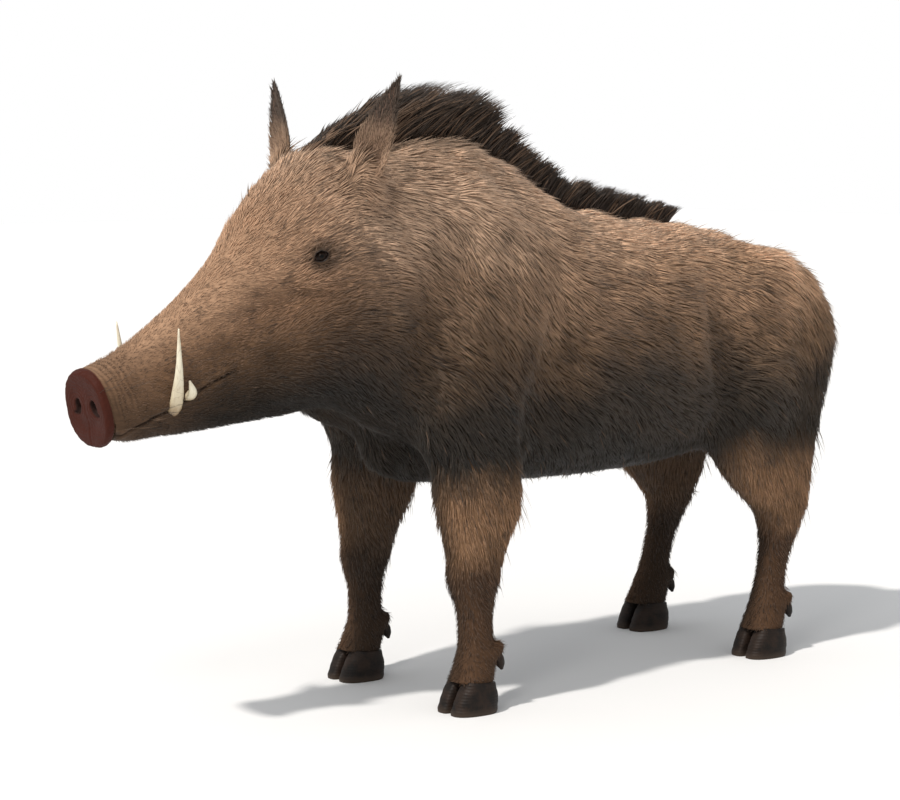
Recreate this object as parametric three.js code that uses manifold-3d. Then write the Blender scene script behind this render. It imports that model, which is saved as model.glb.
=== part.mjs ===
// Wild boar (Sus scrofa), an adult male standing square, as a still life-size model.
// Millimetres, +Z up. The animal faces -Y and its left side is +X.
// Every size below is that of the coated animal, out to the tips of the coat.
//
// The flesh is one continuous body. Its trunk and neck are a run of oval sections along Y, the head is
// a run of oval sections along its own sloping axis, and each leg is a run of oval sections along Z.
// Muscles are ellipsoids. They are blended over a stated radius, meshed, and parted into the
// named pieces by thin cuts. Hooves, dewclaws, tusks, eyes, ears, tail, crest and nose pad are pieces of their own.
import * as THREE from "three";
import { mergeVertices } from "three/addons/utils/BufferGeometryUtils.js";
import Module from "manifold-3d";

const wasm = await Module();
wasm.setup();

// ---------------------------------------------------------------- driving sizes
const GAP = 0.5; // clear gap between neighbouring pieces
const BODY_SHIFT_Y = -157.857; // moves the fore feet from Y = 0 so that the origin is under the middle of the animal

// Trunk and neck: y, top z, bottom z, half width, z of the widest level, exponent above it, exponent below it
const TRUNK = [
  [-310, 778, 600, 66, 680, 2.0, 2.0],
  [-220, 858, 526, 112, 668, 2.0, 2.0],
  [-140, 884, 470, 136, 652, 1.9, 2.0],
  [-60, 896, 412, 157, 626, 1.8, 2.0],
  [20, 906, 366, 174, 600, 1.75, 2.1],
  [90, 898, 338, 184, 582, 1.75, 2.2],
  [170, 862, 328, 191, 566, 1.8, 2.25],
  [270, 802, 325, 197, 552, 1.95, 2.25],
  [390, 774, 326, 200, 544, 2.1, 2.25],
  [510, 762, 334, 197, 543, 2.2, 2.25],
  [625, 745, 354, 186, 546, 2.2, 2.2],
  [720, 712, 392, 166, 552, 2.1, 2.1],
  [790, 672, 436, 138, 556, 2.0, 2.0],
  [840, 630, 482, 104, 558, 2.0, 2.0],
  [868, 598, 514, 70, 558, 2.0, 2.0],
  [882, 575, 540, 28, 557, 2.0, 2.0],
];
// Head axis: it starts in the middle of the nose pad and rises towards the neck
const NOSE = { y: -583, z: 508, pitch: 20 };
// Head: distance along the axis, top, bottom, half width, widest level, exponent above, exponent below
const HEAD = [
  [4, 54, -60, 49, -3, 2.5, 2.3],
  [30, 54, -70, 49, -8, 2.5, 2.3],
  [70, 58, -84, 52, -19, 2.5, 2.3],
  [110, 66, -98, 56, -27, 2.4, 2.3],
  [150, 77, -110, 60, -27, 2.3, 2.3],
  [200, 93, -124, 67, -19, 2.2, 2.2],
  [250, 113, -138, 79, -7, 2.15, 2.1],
  [300, 138, -152, 96, 0, 2.15, 2.0],
  [350, 166, -160, 113, 0, 2.25, 2.0],
  [400, 194, -164, 127, -8, 2.35, 2.0],
  [450, 210, -167, 131, -12, 2.35, 2.0],
  [500, 205, -160, 124, -8, 2.2, 2.0],
  [545, 164, -128, 98, 0, 2.0, 2.0],
  [575, 92, -70, 50, 0, 2.0, 2.0],
];
// Legs: z, centre x, front y, back y, half width
const FORELEG = [
  [44, 148, -40, 34, 37],
  [60, 147.5, -33, 39, 36],
  [78, 147, -26, 44, 34],
  [96, 146, -21, 45, 32],
  [120, 145, -21, 41, 30],
  [150, 144, -23, 42, 30],
  [175, 143, -29, 47, 34],
  [200, 142, -35, 54, 39],
  [225, 141, -38, 61, 41],
  [260, 140, -42, 75, 46],
  [300, 138, -50, 96, 53],
  [340, 135, -58, 110, 60],
  [380, 131, -65, 117, 64],
  [420, 127, -72, 118, 66],
  [480, 121, -80, 112, 66],
  [540, 114, -78, 104, 58],
];
const HINDLEG = [
  [44, 147, 611, 687, 37],
  [60, 146.5, 618, 693, 36],
  [78, 146, 626, 699, 34],
  [96, 145, 633, 702, 32],
  [120, 144, 640, 702, 29],
  [150, 143, 647, 709, 28],
  [190, 141, 654, 724, 31],
  [225, 139, 652, 745, 35],
  [252, 137, 639, 763, 39],
  [275, 135, 616, 772, 43],
  [305, 132, 584, 778, 49],
  [340, 129, 556, 785, 57],
  [385, 124, 538, 798, 65],
  [430, 118, 534, 815, 72],
  [490, 111, 536, 836, 77],
  [550, 103, 558, 842, 75],
  [610, 92, 604, 818, 62],
];
// Muscle masses: centre x y z, half sizes x y z, turn about X in degrees, blend length
const MUSCLES = [
  [112, 62, 640, 66, 96, 190, 14, 60], // shoulder blade
  [122, -6, 500, 66, 92, 104, -24, 60], // point of the shoulder
  [104, 694, 560, 82, 146, 150, -10, 60], // haunch
  [62, 814, 560, 62, 62, 104, 8, 50], // buttock
  [70, -110, 560, 82, 110, 130, 25, 60], // side of the neck
  [0, 20, 420, 82, 120, 80, 10, 60], // brisket
];
// Masses of the head: centre x, along the axis, up from it, half sizes, blend length
const HEAD_MASSES = [
  [74, 372, -62, 52, 86, 78, 40], // cheek
  [60, 360, 92, 26, 46, 26, 22], // brow
  [40, 104, -24, 17, 40, 22, 14], // lip over the tusk
  [0, 66, -56, 31, 42, 20, 14], // chin
  [96, 494, 138, 35, 32, 47, 34], // root of the ear
];

const EYE = { along: 380, up: 82, r: 12, sunk: 0.8 };
const NOSE_PAD = { pitch: 12, back: 13.06, halfWidth: 58, up: 56, down: 61, thickness: 15, nostrilX: 22, nostrilW: 8.5, nostrilH: 12, nostrilDepth: 11 };
const EAR = { base: [107, -172, 838], tip: [163, -150, 975], width: [24, 33, 35, 31, 22, 11, 4], thick: 6.5, cup: 15, face: [0.22, -0.97, 0.1] };
const HOOF = { width: 40, length: 80, height: 52, cleft: 5, splay: 4 };
const CREST = [
  // y, height of the tips, half width at the foot
  [-224, 866, 9],
  [-190, 884, 15],
  [-140, 922, 22],
  [-60, 954, 26],
  [10, 966, 28],
  [80, 966, 28],
  [140, 950, 27],
  [210, 894, 25],
  [290, 834, 23],
  [390, 804, 20],
  [490, 785, 17],
  [560, 768, 12],
];
const TAIL = [
  // y, z, half width across, half width fore and aft
  [848, 628, 20, 16],
  [878, 612, 19, 16],
  [899, 584, 16, 14],
  [908, 540, 14, 13],
  [910, 490, 13, 12],
  [908, 440, 15, 13],
  [905, 395, 17, 14],
  [902, 350, 13, 11],
  [900, 318, 5, 4],
];

// ---------------------------------------------------------------- helpers
const rad = THREE.MathUtils.degToRad;

// Smooth curve through a table's rows, as a function of its first column
function curve(rows) {
  const n = rows.length,
    m = rows[0].length - 1,
    x = rows.map((r) => r[0]);
  const slope = rows.map((r, i) => {
    const a = Math.max(i - 1, 0),
      b = Math.min(i + 1, n - 1);
    return Array.from({ length: m }, (_, k) => (rows[b][k + 1] - rows[a][k + 1]) / (x[b] - x[a]));
  });
  return (at) => {
    const p = Math.min(Math.max(at, x[0]), x[n - 1]);
    let i = 0;
    while (i < n - 2 && p > x[i + 1]) i++;
    const h = x[i + 1] - x[i],
      t = (p - x[i]) / h,
      t2 = t * t,
      t3 = t2 * t;
    const out = new Array(m);
    for (let k = 0; k < m; k++)
      out[k] =
        (2 * t3 - 3 * t2 + 1) * rows[i][k + 1] +
        (t3 - 2 * t2 + t) * h * slope[i][k] +
        (3 * t2 - 2 * t3) * rows[i + 1][k + 1] +
        (t3 - t2) * h * slope[i + 1][k];
    return out;
  };
}

// Distances are joined over a blend length k
const join = (a, b, k) => {
  const h = Math.max(k - Math.abs(a - b), 0) / k;
  return Math.min(a, b) - h * h * k * 0.25;
};

// Distance from an oval whose upper and lower halves differ
function oval(u, v, w, up, down, nUp, nDown) {
  const n = v > 0 ? nUp : nDown,
    a = Math.abs(u) / w,
    b = Math.abs(v) / (v > 0 ? up : down);
  const g = Math.pow(Math.pow(a, n) + Math.pow(b, n), 1 / n),
    r = Math.hypot(u, v);
  return g < 1e-5 ? -Math.min(w, up, down) : r - r / g;
}
const beyond = (d, over) => (over > 0 ? Math.hypot(Math.max(d, 0), over) : d);

function ellipsoid(x, y, z, a, b, c) {
  const k0 = Math.hypot(x / a, y / b, z / c),
    k1 = Math.hypot(x / (a * a), y / (b * b), z / (c * c));
  return k1 < 1e-9 ? -Math.min(a, b, c) : (k0 * (k0 - 1)) / k1;
}

const trunkAt = curve(TRUNK),
  headAt = curve(HEAD),
  foreAt = curve(FORELEG),
  hindAt = curve(HINDLEG);
const headCos = Math.cos(rad(NOSE.pitch)),
  headSin = Math.sin(rad(NOSE.pitch));
const toHead = (y, z) => [(y - NOSE.y) * headCos + (z - NOSE.z) * headSin, -(y - NOSE.y) * headSin + (z - NOSE.z) * headCos];
const fromHead = (x, s, t) => new THREE.Vector3(x, NOSE.y + s * headCos - t * headSin, NOSE.z + s * headSin + t * headCos);

function trunk(x, y, z) {
  const [top, bottom, w, mid, nUp, nDown] = trunkAt(y);
  const over = Math.max(TRUNK[0][0] - y, y - TRUNK[TRUNK.length - 1][0]);
  return beyond(oval(x, z - mid, w, top - mid, mid - bottom, nUp, nDown), over);
}
function leg(at, rows, x, y, z) {
  const [cx, front, back, w] = at(z);
  const mid = (front + back) / 2;
  const over = Math.max(rows[0][0] - z, z - rows[rows.length - 1][0]);
  return beyond(oval(x - cx, y - mid, w, back - mid, mid - front, 2.2, 2.2), over);
}
function head(x, y, z) {
  const [s, t] = toHead(y, z);
  const [top, bottom, w, mid, nUp, nDown] = headAt(s);
  const over = Math.max(HEAD[0][0] - s, s - HEAD[HEAD.length - 1][0]);
  let d = beyond(oval(x, t - mid, w, top - mid, mid - bottom, nUp, nDown), over);
  for (const [cx, cs, ct, a, b, c, k] of HEAD_MASSES) d = join(d, ellipsoid(x - cx, s - cs, t - ct, a, b, c), k);
  return d;
}
// The whole coated body, as a distance
function body(px, y, z) {
  const x = Math.abs(px);
  let d = trunk(x, y, z);
  for (const [cx, cy, cz, a, b, c, turn, k] of MUSCLES) {
    const co = Math.cos(rad(turn)),
      si = Math.sin(rad(turn)),
      dy = y - cy,
      dz = z - cz;
    d = join(d, ellipsoid(x - cx, dy * co + dz * si, -dy * si + dz * co, a, b, c), k);
  }
  d = join(d, leg(foreAt, FORELEG, x, y, z), 46);
  d = join(d, leg(hindAt, HINDLEG, x, y, z), 46);
  return join(d, head(x, y, z), 46);
}

// Meshes the surface where field = level inside a box, with one vertex in each cell that it crosses
function surface(field, level, low, high, cell) {
  const n = [0, 1, 2].map((i) => Math.ceil((high[i] - low[i]) / cell[i]) + 1);
  const at = (i, j, k) => i + n[0] * (j + n[1] * k);
  const place = (i, j, k) => [low[0] + i * cell[0], low[1] + j * cell[1], low[2] + k * cell[2]];
  const value = new Float64Array(n[0] * n[1] * n[2]);
  const inside = (p) => Math.max(field(p[0], p[1], p[2]) - level, ...[0, 1, 2].map((a) => Math.max(low[a] + cell[a] - p[a], p[a] - (low[a] + (n[a] - 2) * cell[a]))));
  for (let k = 0; k < n[2]; k++) for (let j = 0; j < n[1]; j++) for (let i = 0; i < n[0]; i++) value[at(i, j, k)] = inside(place(i, j, k)) || 1e-6;
  const id = new Int32Array(value.length).fill(-1),
    points = [];
  const corners = [0, 1, 2, 3, 4, 5, 6, 7].map((c) => [c & 1, (c >> 1) & 1, (c >> 2) & 1]);
  for (let k = 0; k < n[2] - 1; k++)
    for (let j = 0; j < n[1] - 1; j++)
      for (let i = 0; i < n[0] - 1; i++) {
        const v = corners.map(([a, b, c]) => value[at(i + a, j + b, k + c)]);
        const signs = v.filter((q) => q < 0).length;
        if (signs === 0 || signs === 8) continue;
        let sum = [0, 0, 0],
          count = 0;
        for (let a = 0; a < 8; a++)
          for (let b = a + 1; b < 8; b++) {
            const same = [0, 1, 2].filter((q) => corners[a][q] === corners[b][q]).length;
            if (same !== 2 || v[a] < 0 === v[b] < 0) continue;
            const t = v[a] / (v[a] - v[b]);
            for (let q = 0; q < 3; q++) sum[q] += corners[a][q] + t * (corners[b][q] - corners[a][q]);
            count++;
          }
        let p = place(i, j, k).map((q, a) => q + (sum[a] / count) * cell[a]);
        for (let step = 0; step < 4; step++) {
          const e = 0.5,
            f = inside(p);
          const g = [0, 1, 2].map((a) => {
            const u = [...p],
              w = [...p];
            u[a] += e;
            w[a] -= e;
            return (inside(u) - inside(w)) / (2 * e);
          });
          const gg = g[0] * g[0] + g[1] * g[1] + g[2] * g[2];
          if (gg < 1e-6) break;
          const back = place(i, j, k);
          p = p.map((q, a) => Math.min(Math.max(q - (f * g[a]) / gg, back[a] + 0.04 * cell[a]), back[a] + 0.96 * cell[a]));
        }
        id[at(i, j, k)] = points.length / 3;
        points.push(...p);
      }
  const index = [];
  const quad = (a, b, c, d, flip) => {
    const P = (q) => new THREE.Vector3(points[3 * q], points[3 * q + 1], points[3 * q + 2]);
    const short = P(a).distanceTo(P(c)) <= P(b).distanceTo(P(d));
    const tris = short ? [a, b, c, a, c, d] : [a, b, d, b, c, d];
    if (flip) for (let q = 0; q < 6; q += 3) [tris[q + 1], tris[q + 2]] = [tris[q + 2], tris[q + 1]];
    index.push(...tris);
  };
  for (let k = 1; k < n[2] - 1; k++)
    for (let j = 1; j < n[1] - 1; j++)
      for (let i = 1; i < n[0] - 1; i++) {
        const here = value[at(i, j, k)] < 0;
        if (here !== value[at(i + 1, j, k)] < 0) quad(id[at(i, j - 1, k - 1)], id[at(i, j, k - 1)], id[at(i, j, k)], id[at(i, j - 1, k)], !here);
        if (here !== value[at(i, j + 1, k)] < 0) quad(id[at(i - 1, j, k - 1)], id[at(i - 1, j, k)], id[at(i, j, k)], id[at(i, j, k - 1)], !here);
        if (here !== value[at(i, j, k + 1)] < 0) quad(id[at(i - 1, j - 1, k)], id[at(i, j - 1, k)], id[at(i, j, k)], id[at(i - 1, j, k)], !here);
      }
  const g = new THREE.BufferGeometry().setAttribute("position", new THREE.BufferAttribute(new Float32Array(points), 3));
  g.setIndex(index);
  return g;
}

function solid(geometry) {
  const g = geometry.index ? geometry.clone() : geometry.clone();
  g.deleteAttribute("normal");
  g.deleteAttribute("uv");
  const merged = mergeVertices(g, 1e-4);
  let s = new wasm.Manifold(new wasm.Mesh({ numProp: 3, vertProperties: merged.attributes.position.array, triVerts: new Uint32Array(merged.index.array) }));
  if (s.volume() < 0) {
    const t = new Uint32Array(merged.index.array);
    for (let i = 0; i < t.length; i += 3) [t[i + 1], t[i + 2]] = [t[i + 2], t[i + 1]];
    s = new wasm.Manifold(new wasm.Mesh({ numProp: 3, vertProperties: merged.attributes.position.array, triVerts: t }));
  }
  return s;
}
function geometryOf(s) {
  const m = s.getMesh(),
    v = new Float32Array(m.numVert * 3);
  for (let i = 0; i < m.numVert; i++) v.set(m.vertProperties.subarray(i * m.numProp, i * m.numProp + 3), i * 3);
  const g = new THREE.BufferGeometry().setAttribute("position", new THREE.BufferAttribute(v, 3));
  g.setIndex(new THREE.BufferAttribute(new Uint32Array(m.triVerts), 1));
  const flat = g.toNonIndexed();
  flat.computeVertexNormals();
  return flat;
}
const largest = (s) => s.decompose().reduce((a, b) => (a.volume() > b.volume() ? a : b));

// A closed skin through rings that all have the same number of points
function rings(list) {
  const n = list[0].length,
    points = [],
    index = [];
  for (const ring of list) for (const p of ring) points.push(p.x, p.y, p.z);
  for (let r = 0; r < list.length - 1; r++)
    for (let i = 0; i < n; i++) {
      const a = r * n + i,
        b = r * n + ((i + 1) % n);
      index.push(a, b, b + n, a, b + n, a + n);
    }
  const cap = (ring, turn) => {
    const c = list[ring].reduce((s, p) => s.add(p), new THREE.Vector3()).divideScalar(n);
    const k = points.length / 3;
    points.push(c.x, c.y, c.z);
    for (let i = 0; i < n; i++) {
      const a = ring * n + i,
        b = ring * n + ((i + 1) % n);
      index.push(...(turn ? [a, b, k] : [b, a, k]));
    }
  };
  cap(0, false);
  cap(list.length - 1, true);
  const g = new THREE.BufferGeometry().setAttribute("position", new THREE.BufferAttribute(new Float32Array(points), 3));
  g.setIndex(index);
  return g;
}

// A prism whose outline is drawn in the side view (y, z) and which runs from x0 to x1
function sidePrism(outline, x0, x1) {
  const shape = new THREE.Shape(outline.map(([y, z]) => new THREE.Vector2(y, z)));
  const g = new THREE.ExtrudeGeometry(shape, { depth: x1 - x0, bevelEnabled: false });
  g.applyMatrix4(new THREE.Matrix4().set(0, 0, 1, x0, 1, 0, 0, 0, 0, 1, 0, 0, 0, 0, 0, 1));
  return solid(g);
}
const mirrored = (s) => {
  const g = geometryOf(s);
  g.applyMatrix4(new THREE.Matrix4().makeScale(-1, 1, 1));
  return solid(g);
};

// ---------------------------------------------------------------- materials
const paint = (hex, roughness, metalness = 0) => new THREE.MeshStandardMaterial({ color: new THREE.Color(hex), roughness, metalness });
const COAT = paint("#7b5b43", 0.85),
  COAT_DARK = paint("#33271f", 0.85),
  HORN = paint("#2b231f", 0.45),
  IVORY = paint("#d9d2b4", 0.35),
  EYE_DARK = paint("#120d0a", 0.1),
  NOSE_SKIN = paint("#5d362c", 0.55);

const group = new THREE.Group();
group.name = "wild_boar";
function add(name, s, material) {
  const mesh = new THREE.Mesh(geometryOf(s), material);
  mesh.name = name;
  mesh.position.set(0, BODY_SHIFT_Y, 0);
  group.add(mesh);
  return mesh;
}

// ---------------------------------------------------------------- flesh, meshed region by region and parted by thin cuts
const BIG = 1400;
// Where the neck meets the head and the trunk, in the side view
const headNeck = [[-128, 1000], [-150, 860], [-205, 640], [-196, 470], [-196, 380]];
const neckTrunk = [[-20, 1000], [-10, 880], [-46, 640], [-100, 470], [-120, 300]];
const slide = (line, by) => line.map(([y, z]) => [y + by, z]);
const inFront = (line) => sidePrism([[-BIG, -BIG], [-BIG, BIG], [line[0][0], BIG], ...line, [line[line.length - 1][0], -BIG]].reverse(), -BIG, BIG);
const behind = (line) => sidePrism([[BIG, -BIG], [BIG, BIG], [line[0][0], BIG], ...line, [line[line.length - 1][0], -BIG]], -BIG, BIG);

// The legs' outlines in the side view
const FORE_OUTLINE = [[-190, -60], [-190, 420], [-160, 480], [-96, 528], [20, 548], [116, 506], [150, 424], [156, 340], [180, -60]];
const HIND_OUTLINE = [[520, -60], [520, 340], [540, 430], [596, 520], [680, 566], [770, 566], [845, 530], [905, 440], [965, 300], [965, -60]];
const FORE_INNER = 62,
  HIND_INNER = 46;
const grown = (outline, by) => {
  const cy = outline.reduce((s, p) => s + p[0], 0) / outline.length;
  return outline.map(([y, z]) => [y + Math.sign(y - cy) * by, z + (z > 0 ? by : -by)]);
};
const legCut = (by) => {
  const fore = sidePrism(grown(FORE_OUTLINE, by), FORE_INNER - by, 400),
    hind = sidePrism(grown(HIND_OUTLINE, by), HIND_INNER - by, 400);
  return fore.add(hind).add(mirrored(fore)).add(mirrored(hind));
};

const trunkMesh = solid(surface(body, 0, [-265, -180, 230], [265, 950, 980], [55, 62, 54]));
const trunkWhole = largest(trunkMesh.intersect(behind(slide(neckTrunk, GAP / 2))));
const trunkPiece = largest(trunkWhole.subtract(legCut(GAP)));

const neckMesh = solid(surface(body, 0, [-235, -300, 250], [235, 80, 980], [44, 42, 44]));
const neckPiece = largest(
  neckMesh.intersect(inFront(slide(neckTrunk, -GAP / 2))).intersect(behind(slide(headNeck, GAP / 2))).subtract(legCut(GAP)),
);

const headMesh = solid(surface(body, 0, [-183, -640, 370], [183, -70, 910], [35, 34, 34]));
let headPiece = largest(headMesh.intersect(inFront(slide(headNeck, -GAP / 2))));

const legPieces = {};
for (const [name, outline, inner, box] of [
  ["foreleg", FORE_OUTLINE, FORE_INNER, [[40, -230, 4], [250, 200, 600]]],
  ["hindleg", HIND_OUTLINE, HIND_INNER, [[24, 500, 4], [250, 960, 610]]],
]) {
  const prism = sidePrism(outline, inner, 400);
  const upper = solid(surface(body, 0, [box[0][0], box[0][1], 110], box[1], name === "foreleg" ? [31, 32, 38] : [33, 34, 40]));
  const lower = solid(surface(body, 0, box[0], [box[1][0], box[1][1], 300], [24, 24, 32]));
  legPieces[name] = { prism, upper: upper.intersect(prism), lower: lower.intersect(prism) };
}

// ---------------------------------------------------------------- hooves: two main claws and two dewclaws on each foot
const ring = (n, f) => Array.from({ length: n }, (_, i) => f((2 * Math.PI * i) / n));
// One claw, toe towards -Y, its cleft side at x = 0 and its outer side at +x, standing on z = 0
function claw() {
  const { width, length, height } = HOOF;
  const levels = [
    // z, toe y, heel y, outer x share
    [0, -length * 0.56, length * 0.42, 0.98],
    [7, -length * 0.555, length * 0.44, 1.0],
    [30, -length * 0.43, length * 0.45, 0.98],
    [height, -length * 0.26, length * 0.38, 0.86],
  ];
  return rings(
    levels.map(([z, toe, heel, share]) => {
      const mid = (toe + heel) / 2 + 4,
        front = mid - toe,
        back = heel - mid;
      return ring(12, (a) => {
        const c = Math.cos(a),
          s = Math.sin(a);
        const along = s < 0 ? -front * Math.pow(-s, 0.9) : back * Math.pow(s, 0.8);
        const across = c > 0 ? width * 0.62 * share * Math.pow(c, 0.8) : -width * 0.36 * Math.pow(-c, 0.45) * Math.min(1, 1.15 - 0.25 * Math.abs(s));
        const zz = z === height ? height - (along + front) * 0.09 : z;
        return new THREE.Vector3(across + width * 0.37, mid + along, zz);
      });
    }),
  );
}
function dewclaw() {
  // A short blunt horn hanging behind the fetlock
  const rows = [[0, 7.5], [-9, 9.5], [-20, 8], [-29, 2.5]];
  return rings(rows.map(([z, r], i) => ring(6, (a) => new THREE.Vector3(r * 0.85 * Math.cos(a), r * Math.sin(a) + i * 1.2, z))).reverse());
}
const placed = (g, move, turnZ = 0, turnX = 0, flip = false) => {
  const m = new THREE.Matrix4().makeTranslation(...move).multiply(new THREE.Matrix4().makeRotationZ(rad(turnZ))).multiply(new THREE.Matrix4().makeRotationX(rad(turnX)));
  if (flip) m.multiply(new THREE.Matrix4().makeScale(-1, 1, 1));
  return solid(g.clone().applyMatrix4(m));
};

const FEET = { foreleg: { x: 148, y: -3, back: 40 }, hindleg: { x: 147, y: 649, back: 696 } };
for (const [name, foot] of Object.entries(FEET)) {
  const p = legPieces[name];
  const coronet = sidePrism([[foot.y - 120, -200], [foot.y - 120, HOOF.height + 8], [foot.y + 140, HOOF.height - 14], [foot.y + 140, -200]], -BIG, BIG);
  const claws = {
    outer: placed(claw(), [foot.x + HOOF.cleft / 2, foot.y, 0], -HOOF.splay),
    inner: placed(claw(), [foot.x - HOOF.cleft / 2, foot.y, 0], HOOF.splay, 0, true),
  };
  const clawRoom = {
    outer: placed(claw().scale(1, 1, 1), [foot.x + HOOF.cleft / 2, foot.y, GAP], -HOOF.splay),
    inner: placed(claw().scale(1, 1, 1), [foot.x - HOOF.cleft / 2, foot.y, GAP], HOOF.splay, 0, true),
  };
  const dews = {
    outer: placed(dewclaw(), [foot.x + 17, foot.back - 1, 88], 12, 16),
    inner: placed(dewclaw(), [foot.x - 17, foot.back - 1, 88], -12, 16),
  };
  const knee = name === "foreleg" ? [[-BIG, 186], [BIG, 186]] : [[515, 210], [855, 262]];
  const cutLow = sidePrism([[-BIG, -BIG], [BIG, -BIG], [knee[1][0], knee[1][1] - GAP / 2], [knee[0][0], knee[0][1] - GAP / 2]].sort(() => 0), -BIG, BIG);
  const cutHigh = sidePrism([[knee[0][0], knee[0][1] + GAP / 2], [knee[1][0], knee[1][1] + GAP / 2], [knee[1][0], BIG], [knee[0][0], BIG]], -BIG, BIG);
  let lower = p.lower.intersect(cutLow).subtract(coronet);
  // Main claws keep below the pastern; dewclaws are let into it
  const dewRoom = [dews.outer, dews.inner].map((d) => {
    const b = d.boundingBox(),
      c = [0, 1, 2].map((i) => (b.min[i] + b.max[i]) / 2);
    const g = geometryOf(d);
    g.translate(-c[0], -c[1], -c[2]).scale(1.06, 1.06, 1.05).translate(...c);
    return solid(g);
  });
  for (const room of dewRoom) lower = lower.subtract(room);
  for (const room of Object.values(clawRoom)) lower = lower.subtract(room);
  lower = largest(lower);
  const upper = largest(p.upper.intersect(cutHigh));
  for (const side of ["left", "right"]) {
    const of = (s) => (side === "left" ? s : mirrored(s));
    add(`${name}_${side}_upper`, of(upper), COAT);
    add(`${name}_${side}_lower`, of(lower), COAT);
    for (const which of ["outer", "inner"]) {
      add(`hoof_${name.slice(0, 4)}_${side}_${which}`, of(claws[which]), HORN);
      add(`dewclaw_${name.slice(0, 4)}_${side}_${which}`, of(dews[which]), HORN);
    }
  }
}

// ---------------------------------------------------------------- ears: cupped leaves
function earLoft(grow) {
  const base = new THREE.Vector3(...EAR.base),
    up = new THREE.Vector3(...EAR.tip).sub(base),
    length = up.length();
  up.normalize();
  const face = new THREE.Vector3(...EAR.face);
  face.addScaledVector(up, -face.dot(up)).normalize();
  const across = new THREE.Vector3().crossVectors(up, face).normalize();
  const n = EAR.width.length - 1;
  return rings(
    EAR.width.map((w, i) => {
      const t = i / n;
      const c = base.clone().addScaledVector(up, -14 + (length + 14) * t).addScaledVector(face, -10 * t * (1 - t));
      const half = w + grow,
        thick = EAR.thick * (1 - 0.45 * t) + grow,
        cup = EAR.cup * (1 - 0.75 * t);
      return ring(12, (a) => {
        const u = Math.cos(a) * half,
          v = Math.sin(a) * thick;
        const bend = cup * ((u / half) ** 2 - 0.35);
        return c.clone().addScaledVector(across, u).addScaledVector(face, v + bend);
      });
    }),
  );
}

// ---------------------------------------------------------------- tusks
// A tapering horn along a curved line, given in the head's own axes
function tusk(points, radii, extend = 0, sides = 8) {
  const line = new THREE.CatmullRomCurve3(points.map(([x, s, t]) => fromHead(x, s, t)));
  const n = radii.length;
  return rings(
    radii.map((r, i) => {
      const t = i / (n - 1),
        c = line.getPoint(t),
        along = line.getTangent(t);
      c.addScaledVector(along, (i === 0 ? -extend : 0) + (i === n - 1 ? extend : 0));
      const axis = new THREE.Vector3(0, headCos, headSin),
        side = axis.addScaledVector(along, -along.dot(axis)).normalize(),
        other = new THREE.Vector3().crossVectors(along, side);
      return ring(sides, (a) => c.clone().addScaledVector(side, r * Math.cos(a)).addScaledVector(other, r * 0.8 * Math.sin(a)));
    }),
  );
}
const LOWER_TUSK = [[42, 98, -50], [55, 101, -38], [69, 106, -12], [80, 113, 20], [87, 127, 72]];
const UPPER_TUSK = [[42, 126, -36], [56, 127, -35], [68, 127, -27], [73, 125, -10]];
const tusks = {
  lower: [solid(tusk(LOWER_TUSK, [10.5, 10.5, 10.2, 8.8, 6.6, 4, 1.2])), solid(tusk(LOWER_TUSK, [10.5, 10.5, 10.2, 8.8, 6.6, 4, 1.2].map((r) => r + GAP * 1.6), 3))],
  upper: [solid(tusk(UPPER_TUSK, [10, 10, 9, 7.5, 5, 1.5])), solid(tusk(UPPER_TUSK, [10, 10, 9, 7.5, 5, 1.5].map((r) => r + GAP * 1.6), 3))],
};

// ---------------------------------------------------------------- head: sockets for the eyes and tusks, and the mouth
const ball = (r, at) => {
  const g = new THREE.SphereGeometry(r, 10, 8);
  g.translate(at.x, at.y, at.z);
  return solid(g);
};
// The eye sits at the body's surface, with this share of it sunk in
const surfaceX = (p, depth) => {
  let x = 260;
  while (x > 0 && body(x, p.y, p.z) > -depth) x -= 0.25;
  return x;
};
const eyeAt = fromHead(0, EYE.along, EYE.up);
eyeAt.x = surfaceX(eyeAt, EYE.r * EYE.sunk);
const eye = ball(EYE.r, eyeAt),
  eyeRoom = ball(EYE.r + GAP * 1.5, eyeAt);
const bothSides = (s) => s.add(mirrored(s));
for (const room of [eyeRoom, tusks.lower[1], tusks.upper[1]]) headPiece = headPiece.subtract(bothSides(room));

// The mouth line and the back of the lower jaw, in the head's axes
const MOUTH = [[-60, -34], [40, -40], [84, -43], [120, -38], [170, -33], [206, -30]];
const JAW_BACK = [[250, -50], [330, -58], [640, -58], [640, -260]];
const line2 = (rows, by) => rows.map(([s, t]) => { const p = fromHead(0, s, t + by); return [p.y, p.z]; });
const jawPrism = (by) => sidePrism([...line2([...MOUTH, ...JAW_BACK], by), ...line2([[-60, -260]], by)], -BIG, BIG);
const jawPiece = largest(headPiece.intersect(jawPrism(-GAP)));
headPiece = largest(headPiece.subtract(jawPrism(GAP * 0.4)));

// ---------------------------------------------------------------- nose pad with its two nostrils
const padCos = Math.cos(rad(NOSE_PAD.pitch)),
  padSin = Math.sin(rad(NOSE_PAD.pitch));
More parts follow.
